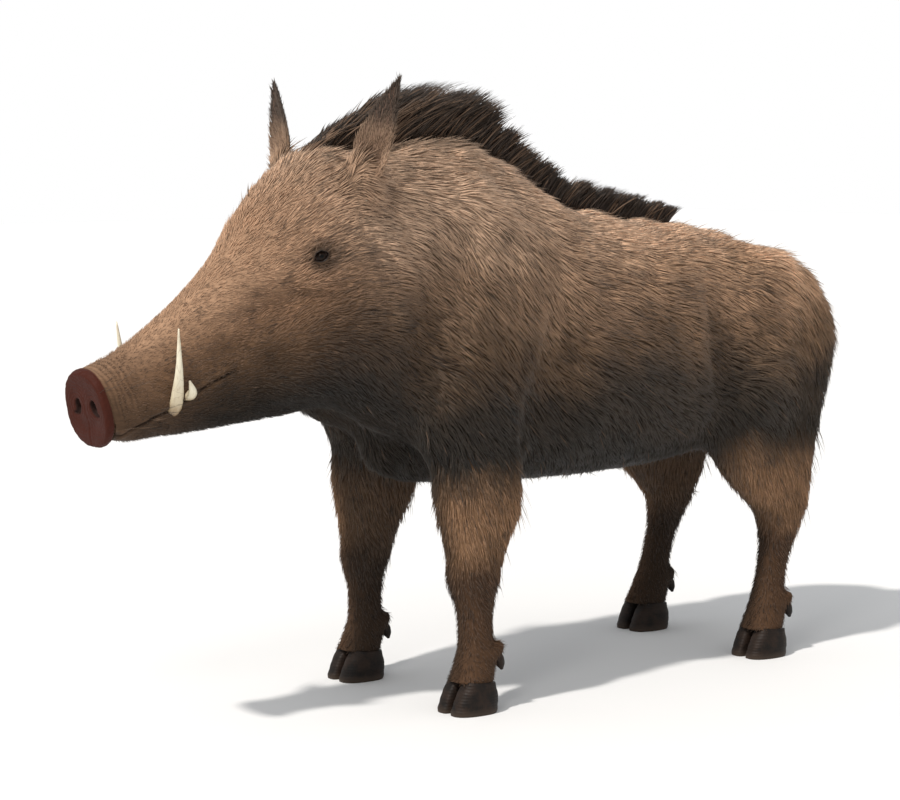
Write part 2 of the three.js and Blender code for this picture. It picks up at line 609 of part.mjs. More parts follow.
// x, depth behind the pad's face, height above its middle
const fromPad = (x, s, t) => {
  const c = fromHead(0, -NOSE_PAD.back, 0);
  return new THREE.Vector3(x, c.y + s * padCos - t * padSin, c.z + s * padSin + t * padCos);
};
function nosePad() {
  const { halfWidth, up, down, thickness } = NOSE_PAD;
  const rows = [
    // depth, share of the outline
    [0, 0.9],
    [3, 0.98],
    [8, 1.0],
    [thickness, 0.95],
  ];
  return rings(
    rows.map(([s, share]) =>
      ring(20, (a) => {
        const c = Math.cos(a),
          q = Math.sin(a),
          n = 2.35;
        const r = share / Math.pow(Math.pow(Math.abs(c), n) + Math.pow(Math.abs(q), n), 1 / n);
        return fromPad(c * r * halfWidth * (1 - 0.06 * q), s, q * r * (q > 0 ? up : down));
      }),
    ),
  );
}
let pad = solid(nosePad());
for (const side of [1, -1]) {
  const { nostrilX, nostrilW, nostrilH, nostrilDepth } = NOSE_PAD;
  const hole = rings([-20, nostrilDepth].map((s, i) => ring(10, (a) => fromPad(side * nostrilX + Math.cos(a) * nostrilW * (i ? 0.75 : 1.2), s, Math.sin(a) * nostrilH * (i ? 0.75 : 1.2)))));
  pad = pad.subtract(solid(hole));
}
// The muzzle ends in a flat face just behind the pad
const muzzleEnd = sidePrism(
  [[NOSE_PAD.thickness + GAP, 300], [NOSE_PAD.thickness + GAP, -300], [-300, -300], [-300, 300]].map(([s, t]) => {
    const p = fromPad(0, s, t);
    return [p.y, p.z];
  }),
  -BIG,
  BIG,
);
headPiece = largest(headPiece.subtract(muzzleEnd));
const jawEnd = largest(jawPiece.subtract(muzzleEnd));

add("head", headPiece, COAT);
add("lower_jaw", jawEnd, COAT);
add("nose_pad", pad, NOSE_SKIN);
add("neck", neckPiece, COAT);
add("trunk", trunkPiece, COAT);
for (const [side, of] of [["left", (s) => s], ["right", mirrored]]) {
  add(`eye_${side}`, of(eye), EYE_DARK);
  add(`tusk_lower_${side}`, of(tusks.lower[0]), IVORY);
  add(`tusk_upper_${side}`, of(tusks.upper[0]), IVORY);
}

// ---------------------------------------------------------------- crest, ears and tail, cut to sit on the body
// What sits on the body is cleared from it by moving the body's meshes a gap outwards at that place
const clear = (s, out, ...meshes) => largest(meshes.reduce((a, m) => a.subtract(m.translate(out)), s));
const crestAt = curve(CREST);
const crestRings = [];
for (let i = 0; i <= 16; i++) {
  const y = CREST[0][0] + ((CREST[CREST.length - 1][0] - CREST[0][0]) * i) / 16;
  const [tip, foot] = crestAt(y),
    low = Math.min(trunkAt(y)[0], tip) - 34;
  crestRings.push(
    [[-1, 0], [-0.82, 0.5], [-0.4, 0.86], [0, 1], [0.4, 0.86], [0.82, 0.5], [1, 0], [0, -0.1]].map(([u, v]) => new THREE.Vector3(u * foot, y + 16 * Math.max(v, 0), low + (tip - low) * v)),
  );
}
const crest = clear(solid(rings(crestRings)), [0, 0, GAP], trunkMesh, neckMesh, headMesh);
add("crest", crest, COAT_DARK);

const ear = solid(earLoft(0));
for (const [side, loft, out] of [["left", ear, GAP], ["right", mirrored(ear), -GAP]]) {
  add(`ear_${side}`, clear(clear(loft, [out * 0.5, 0, GAP], headMesh, neckMesh), [out * 1.3, 0, 0], headMesh, neckMesh), COAT);
}

const tailLoft = rings(
  TAIL.map(([y, z, a, b], i) => {
    const p = TAIL[Math.max(i - 1, 0)],
      q = TAIL[Math.min(i + 1, TAIL.length - 1)];
    const along = new THREE.Vector3(0, q[0] - p[0], q[1] - p[1]).normalize(),
      across = new THREE.Vector3(1, 0, 0),
      out = new THREE.Vector3().crossVectors(along, across);
    return ring(10, (t) => new THREE.Vector3(0, y, z).addScaledVector(across, a * Math.cos(t)).addScaledVector(out, b * Math.sin(t)));
  }),
);
const tail = clear(solid(tailLoft), [0, GAP, 0], trunkMesh);
add("tail", tail, COAT_DARK);

export default group;
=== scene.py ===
# Wild boar: skin, coat, hooves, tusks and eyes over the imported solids.
# The shape code works in millimetres with the fore feet near y = 0. Meshes are made in metres in the row's frame.
import math
import bpy
import bmesh
import numpy as np
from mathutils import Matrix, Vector


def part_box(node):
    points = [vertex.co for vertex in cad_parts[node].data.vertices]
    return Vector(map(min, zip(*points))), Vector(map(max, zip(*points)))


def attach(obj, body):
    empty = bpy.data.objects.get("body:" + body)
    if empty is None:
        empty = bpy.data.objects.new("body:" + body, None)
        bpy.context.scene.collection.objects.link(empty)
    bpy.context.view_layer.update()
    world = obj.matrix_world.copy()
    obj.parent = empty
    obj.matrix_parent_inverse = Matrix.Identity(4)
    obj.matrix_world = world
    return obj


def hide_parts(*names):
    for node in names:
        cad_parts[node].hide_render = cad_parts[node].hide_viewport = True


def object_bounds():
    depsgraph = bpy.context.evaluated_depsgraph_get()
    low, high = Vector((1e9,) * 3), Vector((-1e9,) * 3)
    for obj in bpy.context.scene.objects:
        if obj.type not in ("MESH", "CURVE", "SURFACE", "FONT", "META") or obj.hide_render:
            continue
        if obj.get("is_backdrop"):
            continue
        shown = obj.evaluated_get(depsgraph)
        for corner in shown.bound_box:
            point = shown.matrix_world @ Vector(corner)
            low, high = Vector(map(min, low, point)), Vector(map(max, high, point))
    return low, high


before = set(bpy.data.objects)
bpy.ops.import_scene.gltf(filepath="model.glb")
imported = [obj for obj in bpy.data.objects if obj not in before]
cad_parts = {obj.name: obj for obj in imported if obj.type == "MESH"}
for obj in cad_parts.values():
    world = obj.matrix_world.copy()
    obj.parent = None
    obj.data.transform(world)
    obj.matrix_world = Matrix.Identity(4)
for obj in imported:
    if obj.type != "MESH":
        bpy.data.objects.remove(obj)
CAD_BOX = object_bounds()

SHIFT_Y = -157.857  # row frame minus shape frame, along Y
CELL = 8.0
COAT = 1.0  # share of the tufts

# ------------------------------------------------------------------ sizes of the coated animal
TRUNK = [
    [-310, 778, 600, 66, 680, 2.0, 2.0],
    [-220, 858, 526, 112, 668, 2.0, 2.0],
    [-140, 884, 470, 136, 652, 1.9, 2.0],
    [-60, 896, 412, 157, 626, 1.8, 2.0],
    [20, 906, 366, 174, 600, 1.75, 2.1],
    [90, 898, 338, 184, 582, 1.75, 2.2],
    [170, 862, 328, 191, 566, 1.8, 2.25],
    [270, 802, 325, 197, 552, 1.95, 2.25],
    [390, 774, 326, 200, 544, 2.1, 2.25],
    [510, 762, 334, 197, 543, 2.2, 2.25],
    [625, 745, 354, 186, 546, 2.2, 2.2],
    [720, 712, 392, 166, 552, 2.1, 2.1],
    [790, 672, 436, 138, 556, 2.0, 2.0],
    [840, 630, 482, 104, 558, 2.0, 2.0],
    [868, 598, 514, 70, 558, 2.0, 2.0],
    [882, 575, 540, 28, 557, 2.0, 2.0],
]
NOSE_Y, NOSE_Z, NOSE_PITCH = -583.0, 508.0, math.radians(20)
HEAD = [
    [4, 54, -60, 49, -3, 2.5, 2.3],
    [30, 54, -70, 49, -8, 2.5, 2.3],
    [70, 58, -84, 52, -19, 2.5, 2.3],
    [110, 66, -98, 56, -27, 2.4, 2.3],
    [150, 77, -110, 60, -27, 2.3, 2.3],
    [200, 93, -124, 67, -19, 2.2, 2.2],
    [250, 113, -138, 79, -7, 2.15, 2.1],
    [300, 138, -152, 96, 0, 2.15, 2.0],
    [350, 166, -160, 113, 0, 2.25, 2.0],
    [400, 194, -164, 127, -8, 2.35, 2.0],
    [450, 210, -167, 131, -12, 2.35, 2.0],
    [500, 205, -160, 124, -8, 2.2, 2.0],
    [545, 164, -128, 98, 0, 2.0, 2.0],
    [575, 92, -70, 50, 0, 2.0, 2.0],
]
FORELEG = [
    [44, 148, -40, 34, 37],
    [60, 147.5, -33, 39, 36],
    [78, 147, -26, 44, 34],
    [96, 146, -21, 45, 32],
    [120, 145, -21, 41, 30],
    [150, 144, -23, 42, 30],
    [175, 143, -29, 47, 34],
    [200, 142, -35, 54, 39],
    [225, 141, -38, 61, 41],
    [260, 140, -42, 75, 46],
    [300, 138, -50, 96, 53],
    [340, 135, -58, 110, 60],
    [380, 131, -65, 117, 64],
    [420, 127, -72, 118, 66],
    [480, 121, -80, 112, 66],
    [540, 114, -78, 104, 58],
]
HINDLEG = [
    [44, 147, 611, 687, 37],
    [60, 146.5, 618, 693, 36],
    [78, 146, 626, 699, 34],
    [96, 145, 633, 702, 32],
    [120, 144, 640, 702, 29],
    [150, 143, 647, 709, 28],
    [190, 141, 654, 724, 31],
    [225, 139, 652, 745, 35],
    [252, 137, 639, 763, 39],
    [275, 135, 616, 772, 43],
    [305, 132, 584, 778, 49],
    [340, 129, 556, 785, 57],
    [385, 124, 538, 798, 65],
    [430, 118, 534, 815, 72],
    [490, 111, 536, 836, 77],
    [550, 103, 558, 842, 75],
    [610, 92, 604, 818, 62],
]
# centre x y z, half sizes x y z, turn about X, blend
MUSCLES = [
    [112, 62, 640, 66, 96, 190, 14, 60],
    [122, -6, 500, 66, 92, 104, -24, 60],
    [104, 694, 560, 82, 146, 150, -10, 60],
    [62, 814, 560, 62, 62, 104, 8, 50],
    [70, -110, 560, 82, 110, 130, 25, 60],
    [0, 20, 420, 82, 120, 80, 10, 60],
]
HEAD_MASSES = [
    [74, 372, -62, 52, 86, 78, 40],
    [60, 360, 92, 26, 46, 26, 22],
    [40, 104, -24, 17, 40, 22, 14],
    [0, 66, -56, 31, 42, 20, 14],
    [96, 494, 138, 35, 32, 47, 34],
]
PAD = dict(pitch=math.radians(12), back=13.06, w=58.0, up=56.0, down=61.0, thick=15.0, nx=22.0)
CREST = [
    [-224, 866, 9], [-190, 884, 15], [-140, 922, 22], [-60, 954, 26], [10, 966, 28], [80, 966, 28],
    [140, 950, 27], [210, 894, 25], [290, 834, 23], [390, 804, 20], [490, 785, 17], [560, 768, 12],
]
TAIL = [
    [848, 628, 20, 16], [878, 612, 19, 16], [899, 584, 16, 14], [908, 540, 14, 13], [910, 490, 13, 12],
    [908, 440, 15, 13], [905, 395, 17, 14], [902, 350, 13, 11], [900, 318, 5, 4],
]
EAR_BASE = np.array([107.0, -172.0, 838.0])
EAR_TIP = np.array([163.0, -150.0, 975.0])
EAR_FACE = np.array([0.22, -0.97, 0.1])
EAR_WIDTH = [24, 33, 35, 31, 22, 11, 4]
EYE_R = 12.0


# ------------------------------------------------------------------ the body as a distance field
class Table:
    """A table's columns as smooth functions of its first column."""

    def __init__(self, rows):
        r = np.array(rows, float)
        x, v = r[:, 0], r[:, 1:]
        n = len(x)
        a, b = np.maximum(np.arange(n) - 1, 0), np.minimum(np.arange(n) + 1, n - 1)
        s = (v[b] - v[a]) / (x[b] - x[a])[:, None]
        p = np.arange(x[0], x[-1] + 0.5, 1.0)
        i = np.clip(np.searchsorted(x, p, side="right") - 1, 0, n - 2)
        h = (x[i + 1] - x[i])[:, None]
        t = (p - x[i])[:, None] / h
        t2, t3 = t * t, t * t * t
        self.p = p
        self.w = (2 * t3 - 3 * t2 + 1) * v[i] + (t3 - 2 * t2 + t) * h * s[i] + (3 * t2 - 2 * t3) * v[i + 1] + (t3 - t2) * h * s[i + 1]
        self.lo, self.hi = x[0], x[-1]

    def __call__(self, q):
        return [np.interp(q, self.p, self.w[:, k]) for k in range(self.w.shape[1])]

    def over(self, q):
        return np.maximum(self.lo - q, q - self.hi)


trunk_t, head_t, fore_t, hind_t, crest_t = Table(TRUNK), Table(HEAD), Table(FORELEG), Table(HINDLEG), Table(CREST)
HC, HS = math.cos(NOSE_PITCH), math.sin(NOSE_PITCH)


def to_head(y, z):
    return (y - NOSE_Y) * HC + (z - NOSE_Z) * HS, -(y - NOSE_Y) * HS + (z - NOSE_Z) * HC


def from_head(x, s, t):
    x, s, t = np.broadcast_arrays(np.asarray(x, float), np.asarray(s, float), np.asarray(t, float))
    return np.stack([x, NOSE_Y + s * HC - t * HS, NOSE_Z + s * HS + t * HC], -1)


PC, PS = math.cos(PAD["pitch"]), math.sin(PAD["pitch"])
PAD_O = from_head(0, -PAD["back"], 0)


def to_pad(y, z):
    return (y - PAD_O[1]) * PC + (z - PAD_O[2]) * PS, -(y - PAD_O[1]) * PS + (z - PAD_O[2]) * PC


def join(a, b, k):
    h = np.maximum(k - np.abs(a - b), 0) / k
    return np.minimum(a, b) - h * h * k * 0.25


def carve(a, b, k):
    """a with b taken away, over a blend length k"""
    return -join(-a, b, k)


def oval(u, v, w, up, down, n_up, n_down):
    n = np.where(v > 0, n_up, n_down)
    a = np.abs(u) / w
    b = np.abs(v) / np.where(v > 0, up, down)
    g = np.power(np.power(a, n) + np.power(b, n) + 1e-12, 1 / n)
    r = np.hypot(u, v)
    return np.where(g < 1e-4, -np.minimum(w, np.minimum(up, down)), r - r / np.maximum(g, 1e-4))


def beyond(d, over):
    return np.where(over > 0, np.hypot(np.maximum(d, 0), np.maximum(over, 0)), d)


def ellipsoid(x, y, z, a, b, c):
    k0 = np.sqrt((x / a) ** 2 + (y / b) ** 2 + (z / c) ** 2)
    k1 = np.sqrt((x / (a * a)) ** 2 + (y / (b * b)) ** 2 + (z / (c * c)) ** 2)
    return np.where(k1 < 1e-9, -min(a, b, c), k0 * (k0 - 1) / np.maximum(k1, 1e-9))


def trunk_d(x, y, z):
    top, bottom, w, mid, nu, nd = trunk_t(y)
    return beyond(oval(x, z - mid, w, top - mid, mid - bottom, nu, nd), trunk_t.over(y))


def leg_d(t, x, y, z):
    cx, front, back, w = t(z)
    mid = (front + back) / 2
    return beyond(oval(x - cx, y - mid, w, back - mid, mid - front, 2.2, 2.2), t.over(z))


def head_d(x, s, t):
    top, bottom, w, mid, nu, nd = head_t(s)
    d = beyond(oval(x, t - mid, w, top - mid, mid - bottom, nu, nd), head_t.over(s))
    for cx, cs, ct, a, b, c, k in HEAD_MASSES:
        d = join(d, ellipsoid(x - cx, s - cs, t - ct, a, b, c), k)
    return d


def turned(x, y, z, m):
    cx, cy, cz, a, b, c, turn = m[:7]
    co, si = math.cos(math.radians(turn)), math.sin(math.radians(turn))
    dy, dz = y - cy, z - cz
    return ellipsoid(x - cx, dy * co + dz * si, -dy * si + dz * co, a, b, c)


def coated(x, y, z):
    """The coated animal, as the solids have it."""
    x = np.abs(x)
    d = trunk_d(x, y, z)
    for m in MUSCLES:
        d = join(d, turned(x, y, z, m), m[7])
    d = join(d, leg_d(fore_t, x, y, z), 46)
    d = join(d, leg_d(hind_t, x, y, z), 46)
    s, t = to_head(y, z)
    return join(d, head_d(x, s, t), 46)


def coat_depth(x, y, z):
    """How far the skin lies inside the coat's outline."""
    s, _ = to_head(y, z)
    by_head = np.interp(s, [14, 60, 150, 280, 420, 560], [1.5, 3.0, 4.0, 5.0, 9.0, 14.0])
    by_leg = np.interp(z, [46, 100, 210, 300, 420], [2.0, 4.0, 5.0, 8.0, 14.0])
    return np.where(y < -60, np.minimum(by_head, 14), np.minimum(by_leg, 14)) * np.clip((np.minimum(by_head, by_leg) + 40) / 40, 0, 1)


# Bony and muscular forms under the coat: add or take away, centre, half sizes, turn, blend
FORMS = [
    (1, [141, -15, 206, 27, 16, 26, 0], 12),  # wrist
    (1, [145, 20, 88, 30, 25, 17, 0], 10),  # fore fetlock
    (1, [144, 672, 92, 30, 25, 17, 0], 10),  # hind fetlock
    (1, [129, 38, 97, 12, 10, 14, -20], 8),  # pads over the dewclaws
    (1, [167, 38, 97, 12, 10, 14, -20], 8),
    (1, [128, 694, 97, 12, 10, 14, -20], 8),
    (1, [166, 694, 97, 12, 10, 14, -20], 8),
    (1, [137, 748, 262, 13, 15, 32, 12], 12),  # point of the hock
    (1, [132, 104, 430, 32, 30, 40, 0], 22),  # elbow
    (-1, [186, 150, 470, 22, 34, 120, -8], 40),  # hollow behind the shoulder
    (-1, [190, 545, 560, 20, 36, 110, 10], 45),  # flank hollow
    (-1, [168, -66, 640, 24, 26, 120, -18], 40),  # hollow between neck and shoulder
    (1, [150, 640, 470, 44, 70, 60, 0], 40),  # stifle
    (-1, [134, 722, 330, 10, 12, 66, 14], 14),  # hollow before the hock's tendon
]
HEAD_FORMS = [
    (1, [100, 384, 48, 20, 60, 15], 18),  # cheek bone
    (-1, [96, 268, 40, 26, 66, 24], 28),  # hollow before the eye
    (-1, [74, 176, 2, 14, 50, 18], 18),  # hollow above the lip
    (1, [60, 306, -80, 36, 62, 34], 26),  # angle of the jaw
    (-1, [0, 372, 208, 26, 60, 20], 30),  # dip between the brows
]


def nose_pad_d(x, y, z):
    s, t = to_pad(y, z)
    w = (PAD["w"] - 2.0) * (1 - 0.06 * np.clip(t / 50, -1, 1))
    flat = oval(x, t, w, PAD["up"] - 2, PAD["down"] - 2, 2.35, 2.35)
    r2 = (x / w) ** 2 + (t / 50) ** 2
    face = 1.6 + 2.6 * np.exp(-(((r2 - 0.25) / 0.32) ** 2))  # the face dips towards the middle and rises to a rim
    q1, q2 = flat + 5.0, np.abs(s - 8.0 - face * 0.5) - 8.0 + face * 0.5 + 5.0
    return np.hypot(np.maximum(q1, 0), np.maximum(q2, 0)) + np.minimum(np.maximum(q1, q2), 0) - 5.0


def nostril_d(x, y, z):
    s, t = to_pad(y, z)
    ca, sa = math.cos(math.radians(14)), math.sin(math.radians(14))
    u, v = (x - PAD["nx"]), t - 2
    u, v = u * ca + v * sa, -u * sa + v * ca
    main = ellipsoid(u, s - 0, v, 8.2, 17, 11.5)
    slit = ellipsoid(x - PAD["nx"] - 8, s + 1, t + 9, 8, 9, 3.2)  # the notch at the nostril's lower outer corner
    return join(main, slit, 6)


def skin_d(x, y, z):
    """The skin under the coat."""
    x = np.abs(x)
    d = trunk_d(x, y, z)
    for m in MUSCLES:
        d = join(d, turned(x, y, z, m), m[7] * 0.85)
    d = join(d, leg_d(fore_t, x, y, z), 40)
    d = join(d, leg_d(hind_t, x, y, z), 40)
    depth = coat_depth(x, y, z)
    for sign, m, k in FORMS:
        near = (np.abs(y - m[1]) < m[4] + m[5] + k + 30) & (np.abs(z - m[2]) < m[4] + m[5] + k + 30)
        if near.any():
            e = turned(x[near], y[near], z[near], m) - depth[near] * 0.6
            d[near] = join(d[near], e, k) if sign > 0 else carve(d[near], e, k)
    s, t = to_head(y, z)
    front = s < 660
    if front.any():
        xs, ss, ts = x[front], s[front], t[front]
        h = head_d(xs, ss, ts)
        for sign, (cx, cs, ct, a, b, c), k in HEAD_FORMS:
            e = ellipsoid(xs - cx, ss - cs, ts - ct, a, b, c)
            h = join(h, e, k) if sign > 0 else carve(h, e, k)
        d[front] = join(d[front], h, 46)
    d = d + depth
    muzzle = s < 70
    ears = (z > 740) & (y < -90) & (x > 50)
    if ears.any():
        d[ears] = join(d[ears], turned(x[ears], y[ears], z[ears], [103, -170, 838, 28, 22, 36, 0]), 24)
    if muzzle.any():
        xm, ym, zm = x[muzzle], y[muzzle], z[muzzle]
        m = join(d[muzzle], nose_pad_d(xm, ym, zm), 9)
        d[muzzle] = carve(m, nostril_d(xm, ym, zm), 3.0)
    return d


def gradient(f, p, e=0.6):
    g = np.empty_like(p)
    for a in range(3):
        u, v = p.copy(), p.copy()
        u[:, a] += e
        v[:, a] -= e
        g[:, a] = (f(u[:, 0], u[:, 1], u[:, 2]) - f(v[:, 0], v[:, 1], v[:, 2])) / (2 * e)
    return g


def onto(f, p, steps=3, limit=4.0):
    """Moves points onto the surface f = 0."""
    p = p.copy()
    for _ in range(steps):
        v = f(p[:, 0], p[:, 1], p[:, 2])
        g = gradient(f, p)
        gg = np.maximum((g * g).sum(1), 0.05)
        step = -(v / gg)[:, None] * g
        size = np.linalg.norm(step, axis=1)
        p += step * np.minimum(1, limit / np.maximum(size, 1e-9))[:, None]
    return p


def unit(v):
    return v / np.maximum(np.linalg.norm(v, axis=-1, keepdims=True), 1e-12)


def smooth01(x, a, b):
    t = np.clip((x - a) / (b - a), 0, 1)
    return t * t * (3 - 2 * t)


def wobble(p, size, seed, waves=7):
    """Smooth noise between about -1 and 1, with features of the given size."""
    r = np.random.default_rng(seed)
    k = unit(r.normal(size=(waves, 3))) * (2 * math.pi / size) * r.uniform(0.6, 1.5, (waves, 1))
    ph = r.uniform(0, 2 * math.pi, waves)
    return np.sin(p @ k.T + ph).sum(1) / math.sqrt(waves) * 0.8


# ------------------------------------------------------------------ skin mesh: a warped grid, finer towards the nose
def warp(y):
    return 0.42 + 0.58 * smooth01(y, -360, -90)


def skin_grid():
    ys = [-612.0]
    while ys[-1] < 910:
        ys.append(ys[-1] + CELL * warp(np.array(ys[-1])))
    ys = np.array(ys)
    us = np.arange(-CELL * 0.5, 222 + CELL, CELL)  # the half on the animal's left; the other is its mirror
    ws = np.arange(-600, 410 + CELL, CELL)
    z0 = 600.0
    k = warp(ys)
    X = us[:, None, None] * k[None, :, None] + 0 * ws[None, None, :]
    Y = np.broadcast_to(ys[None, :, None], X.shape)
    Z = z0 + ws[None, None, :] * k[None, :, None] + 0 * us[:, None, None]
    val = np.full(X.size, 50.0)
    x, y, z = X.ravel(), Y.ravel(), Z.ravel()
    # only where the coated body is near
    ok = (z > 20) & (np.abs(x) < 215)
    val[ok] = skin_d(x[ok], y[ok], z[ok])
    val = val.reshape(X.shape)
    # the other half is mirrored later, in make_skin_arrays, so that the middle cells share their corners
    full = val
    inside = full < 0
    n0, n1, n2 = full.shape
    cnt = np.zeros((n0 - 1, n1 - 1, n2 - 1), np.int8)
    sl = [slice(0, -1), slice(1, None)]
    corner = [(a, b, c) for a in (0, 1) for b in (0, 1) for c in (0, 1)]
    for a, b, c in corner:
        cnt += inside[sl[a], sl[b], sl[c]]
    mask = (cnt > 0) & (cnt < 8)
    cells = np.argwhere(mask)
    ids = np.full(cnt.shape, -1, np.int64)
    ids[mask] = np.arange(len(cells))
    cv = {c: full[cells[:, 0] + c[0], cells[:, 1] + c[1], cells[:, 2] + c[2]] for c in corner}
    tot, num = np.zeros((len(cells), 3)), np.zeros(len(cells))
    for i, a in enumerate(corner):
        for b in corner[i + 1 :]:
            if sum(q != r for q, r in zip(a, b)) != 1:
                continue
            cross = (cv[a] < 0) != (cv[b] < 0)
            t = np.where(cross, cv[a] / np.where(cross, cv[a] - cv[b], 1), 0)
            tot += np.where(cross[:, None], np.array(a) + t[:, None] * (np.array(b) - np.array(a)), 0)
            num += cross
    g = cells + tot / num[:, None]
    yy = np.interp(g[:, 1], np.arange(n1), ys)
    kk = warp(yy)
    pts = np.stack([np.interp(g[:, 0], np.arange(n0), us) * kk, yy, z0 + np.interp(g[:, 2], np.arange(n2), ws) * kk], 1)
    quads = []
    for axis in range(3):
        o1, o2 = [(1, 2), (2, 0), (0, 1)][axis]
        here = inside
        s1, s2 = [slice(None)] * 3, [slice(None)] * 3
        s1[axis], s2[axis] = slice(0, -1), slice(1, None)
        diff = here[tuple(s1)] != here[tuple(s2)]
        e = np.argwhere(diff)
        e = e[(e[:, o1] > 0) & (e[:, o2] > 0) & (e[:, o1] < full.shape[o1] - 1) & (e[:, o2] < full.shape[o2] - 1)]
        out = here[tuple(s1)][e[:, 0], e[:, 1], e[:, 2]]

        def cid(d1, d2):
            c = e.copy()
            c[:, o1] -= d1
            c[:, o2] -= d2
            return ids[c[:, 0], c[:, 1], c[:, 2]]

        q = np.stack([cid(1, 1), cid(0, 1), cid(0, 0), cid(1, 0)], 1)
        q[~out] = q[~out][:, ::-1]
        quads.append(q)
    quads = np.concatenate(quads)
    quads = quads[(quads >= 0).all(1)]
    return pts, quads, cells


def make_skin_arrays():
    pts, quads, cells = skin_grid()
    # the cells of column 0 straddle the middle plane: their vertices lie on it
    mid = cells[:, 0] == 0
    pts[mid, 0] = 0
    # only the faces on the left half are kept, then mirrored
    fc = pts[quads].mean(1)
    quads = quads[fc[:, 0] > -1e-6]

    def relax(p, rounds):
        n = len(p)
        e = np.concatenate([quads[:, [0, 1]], quads[:, [1, 2]], quads[:, [2, 3]], quads[:, [3, 0]]])
        for _ in range(rounds):
            s, c = np.zeros((n, 3)), np.zeros(n)
            for k in (0, 1):
                for a in range(3):
                    s[:, a] += np.bincount(e[:, k], p[e[:, 1 - k], a], n)
                c += np.bincount(e[:, k], None, n)
            avg = s / np.maximum(c, 1)[:, None]
            q = p + 0.5 * np.where(c[:, None] > 0, avg - p, 0)
            q[mid, 0] = 0
            p = onto(skin_d, q, 1)
            p[mid, 0] = 0
        return p

    pts = onto(skin_d, pts, 2)
    pts[mid, 0] = 0
    pts = relax(pts, 3)
    pts = onto(skin_d, pts, 2)
    pts[mid, 0] = 0
    n = len(pts)
    other = pts * np.array([-1, 1, 1])
    remap = np.arange(n) + n
    remap[mid] = np.arange(n)[mid]
    V = np.concatenate([pts, other])
    Q = np.concatenate([quads, remap[quads][:, ::-1]])
    used = np.unique(Q)
    back = np.full(len(V), -1)
    back[used] = np.arange(len(used))
    return V[used], back[Q]


def refine(V, Q, T, pick):
    """Splits the picked quads in four. Their unpicked neighbours become fans of triangles."""
    sel = Q[pick]
    e = np.sort(np.concatenate([sel[:, [0, 1]], sel[:, [1, 2]], sel[:, [2, 3]], sel[:, [3, 0]]]), 1)
    ue, inv = np.unique(e, axis=0, return_inverse=True)
    inv = inv.ravel()
    m = len(sel)
    em = len(V) + np.arange(len(ue))
    fc = len(V) + len(ue) + np.arange(m)
    mids = V[ue].mean(1)
    cents = V[sel].mean(1)
    E = [em[inv[k * m : (k + 1) * m]] for k in range(4)]
    new = [np.stack([sel[:, k], E[k], fc, E[(k + 3) % 4]], 1) for k in range(4)]
    NV = [V, mids, cents]
    count = len(V) + len(ue) + m
    table = {(int(a), int(b)): int(c) for (a, b), c in zip(ue, em)}
    rest = Q[~pick]
    touched = np.zeros(len(V), bool)
    touched[ue.ravel()] = True
    cand = touched[rest].sum(1) >= 2
    keep, fans, extra = [rest[~cand]], [], []

    def fan(face):
        nonlocal count
        ring = []
        n = len(face)
        hit = False
        for k in range(n):
            a, b = int(face[k]), int(face[(k + 1) % n])
            ring.append(a)
            mid = table.get((min(a, b), max(a, b)))
            if mid is not None:
                ring.append(mid)
                hit = True
        if not hit:
            return False
        extra.append(V[np.array(face)].mean(0))
        c = count
        count += 1
        fans.extend((ring[k], ring[(k + 1) % len(ring)], c) for k in range(len(ring)))
        return True

    left = []
    for f in rest[cand]:
        if not fan(f):
            left.append(f)
    T2 = []
    for f in T:
        if not (touched[f].sum() >= 2 and fan(f)):
            T2.append(f)
    if left:
        keep.append(np.array(left))
    if extra:
        NV.append(np.array(extra))
    V2 = np.concatenate(NV)
    Q2 = np.concatenate(keep + new)
    T3 = np.array(T2 + fans, int).reshape(-1, 3)
    return V2, Q2, T3


# ------------------------------------------------------------------ the eye's own frame
def eye_frame():
    lo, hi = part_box("eye_left")
    c = (np.array(lo) + np.array(hi)) / 2 * 1000 - np.array([0, SHIFT_Y, 0])
    out = unit(gradient(lambda x, y, z: coated(x, y, z), c[None], 8.0))[0]
    out = unit(out + np.array([0.12, -0.12, 0.0]))
    along = np.array([0, HC, HS])
    along = unit(along - out * (along @ out))
    up = np.cross(along, out)
    if up[2] < 0:
        up = -up
    return c, along, up, out


EYE_C, EYE_A, EYE_B, EYE_N = eye_frame()


def eye_local(p):
    q = p * np.array([1, 1, 1]) - EYE_C
    q = np.where(p[:, :1] < 0, p * np.array([-1, 1, 1]) - EYE_C, q)
    return q @ EYE_A, q @ EYE_B, q @ EYE_N


def lid_gap(a, b):
    """Distance outside the eye's opening, negative within it."""
    u = np.clip(np.abs(a) / 11.5, 0, 1)
    top = 8.0 * (1 - u**2.4)
    low = -6.6 * (1 - u**2.2)
    d = np.where(b > 0, b - top, low - b)
    return np.where(np.abs(a) > 11.5, np.hypot(np.abs(a) - 11.5, b), d * np.where(u > 0.6, 0.8, 1.0))


MOUTH = Table([[0, -52], [20, -50], [40, -47], [84, -44], [120, -39], [170, -33], [214, -29]])


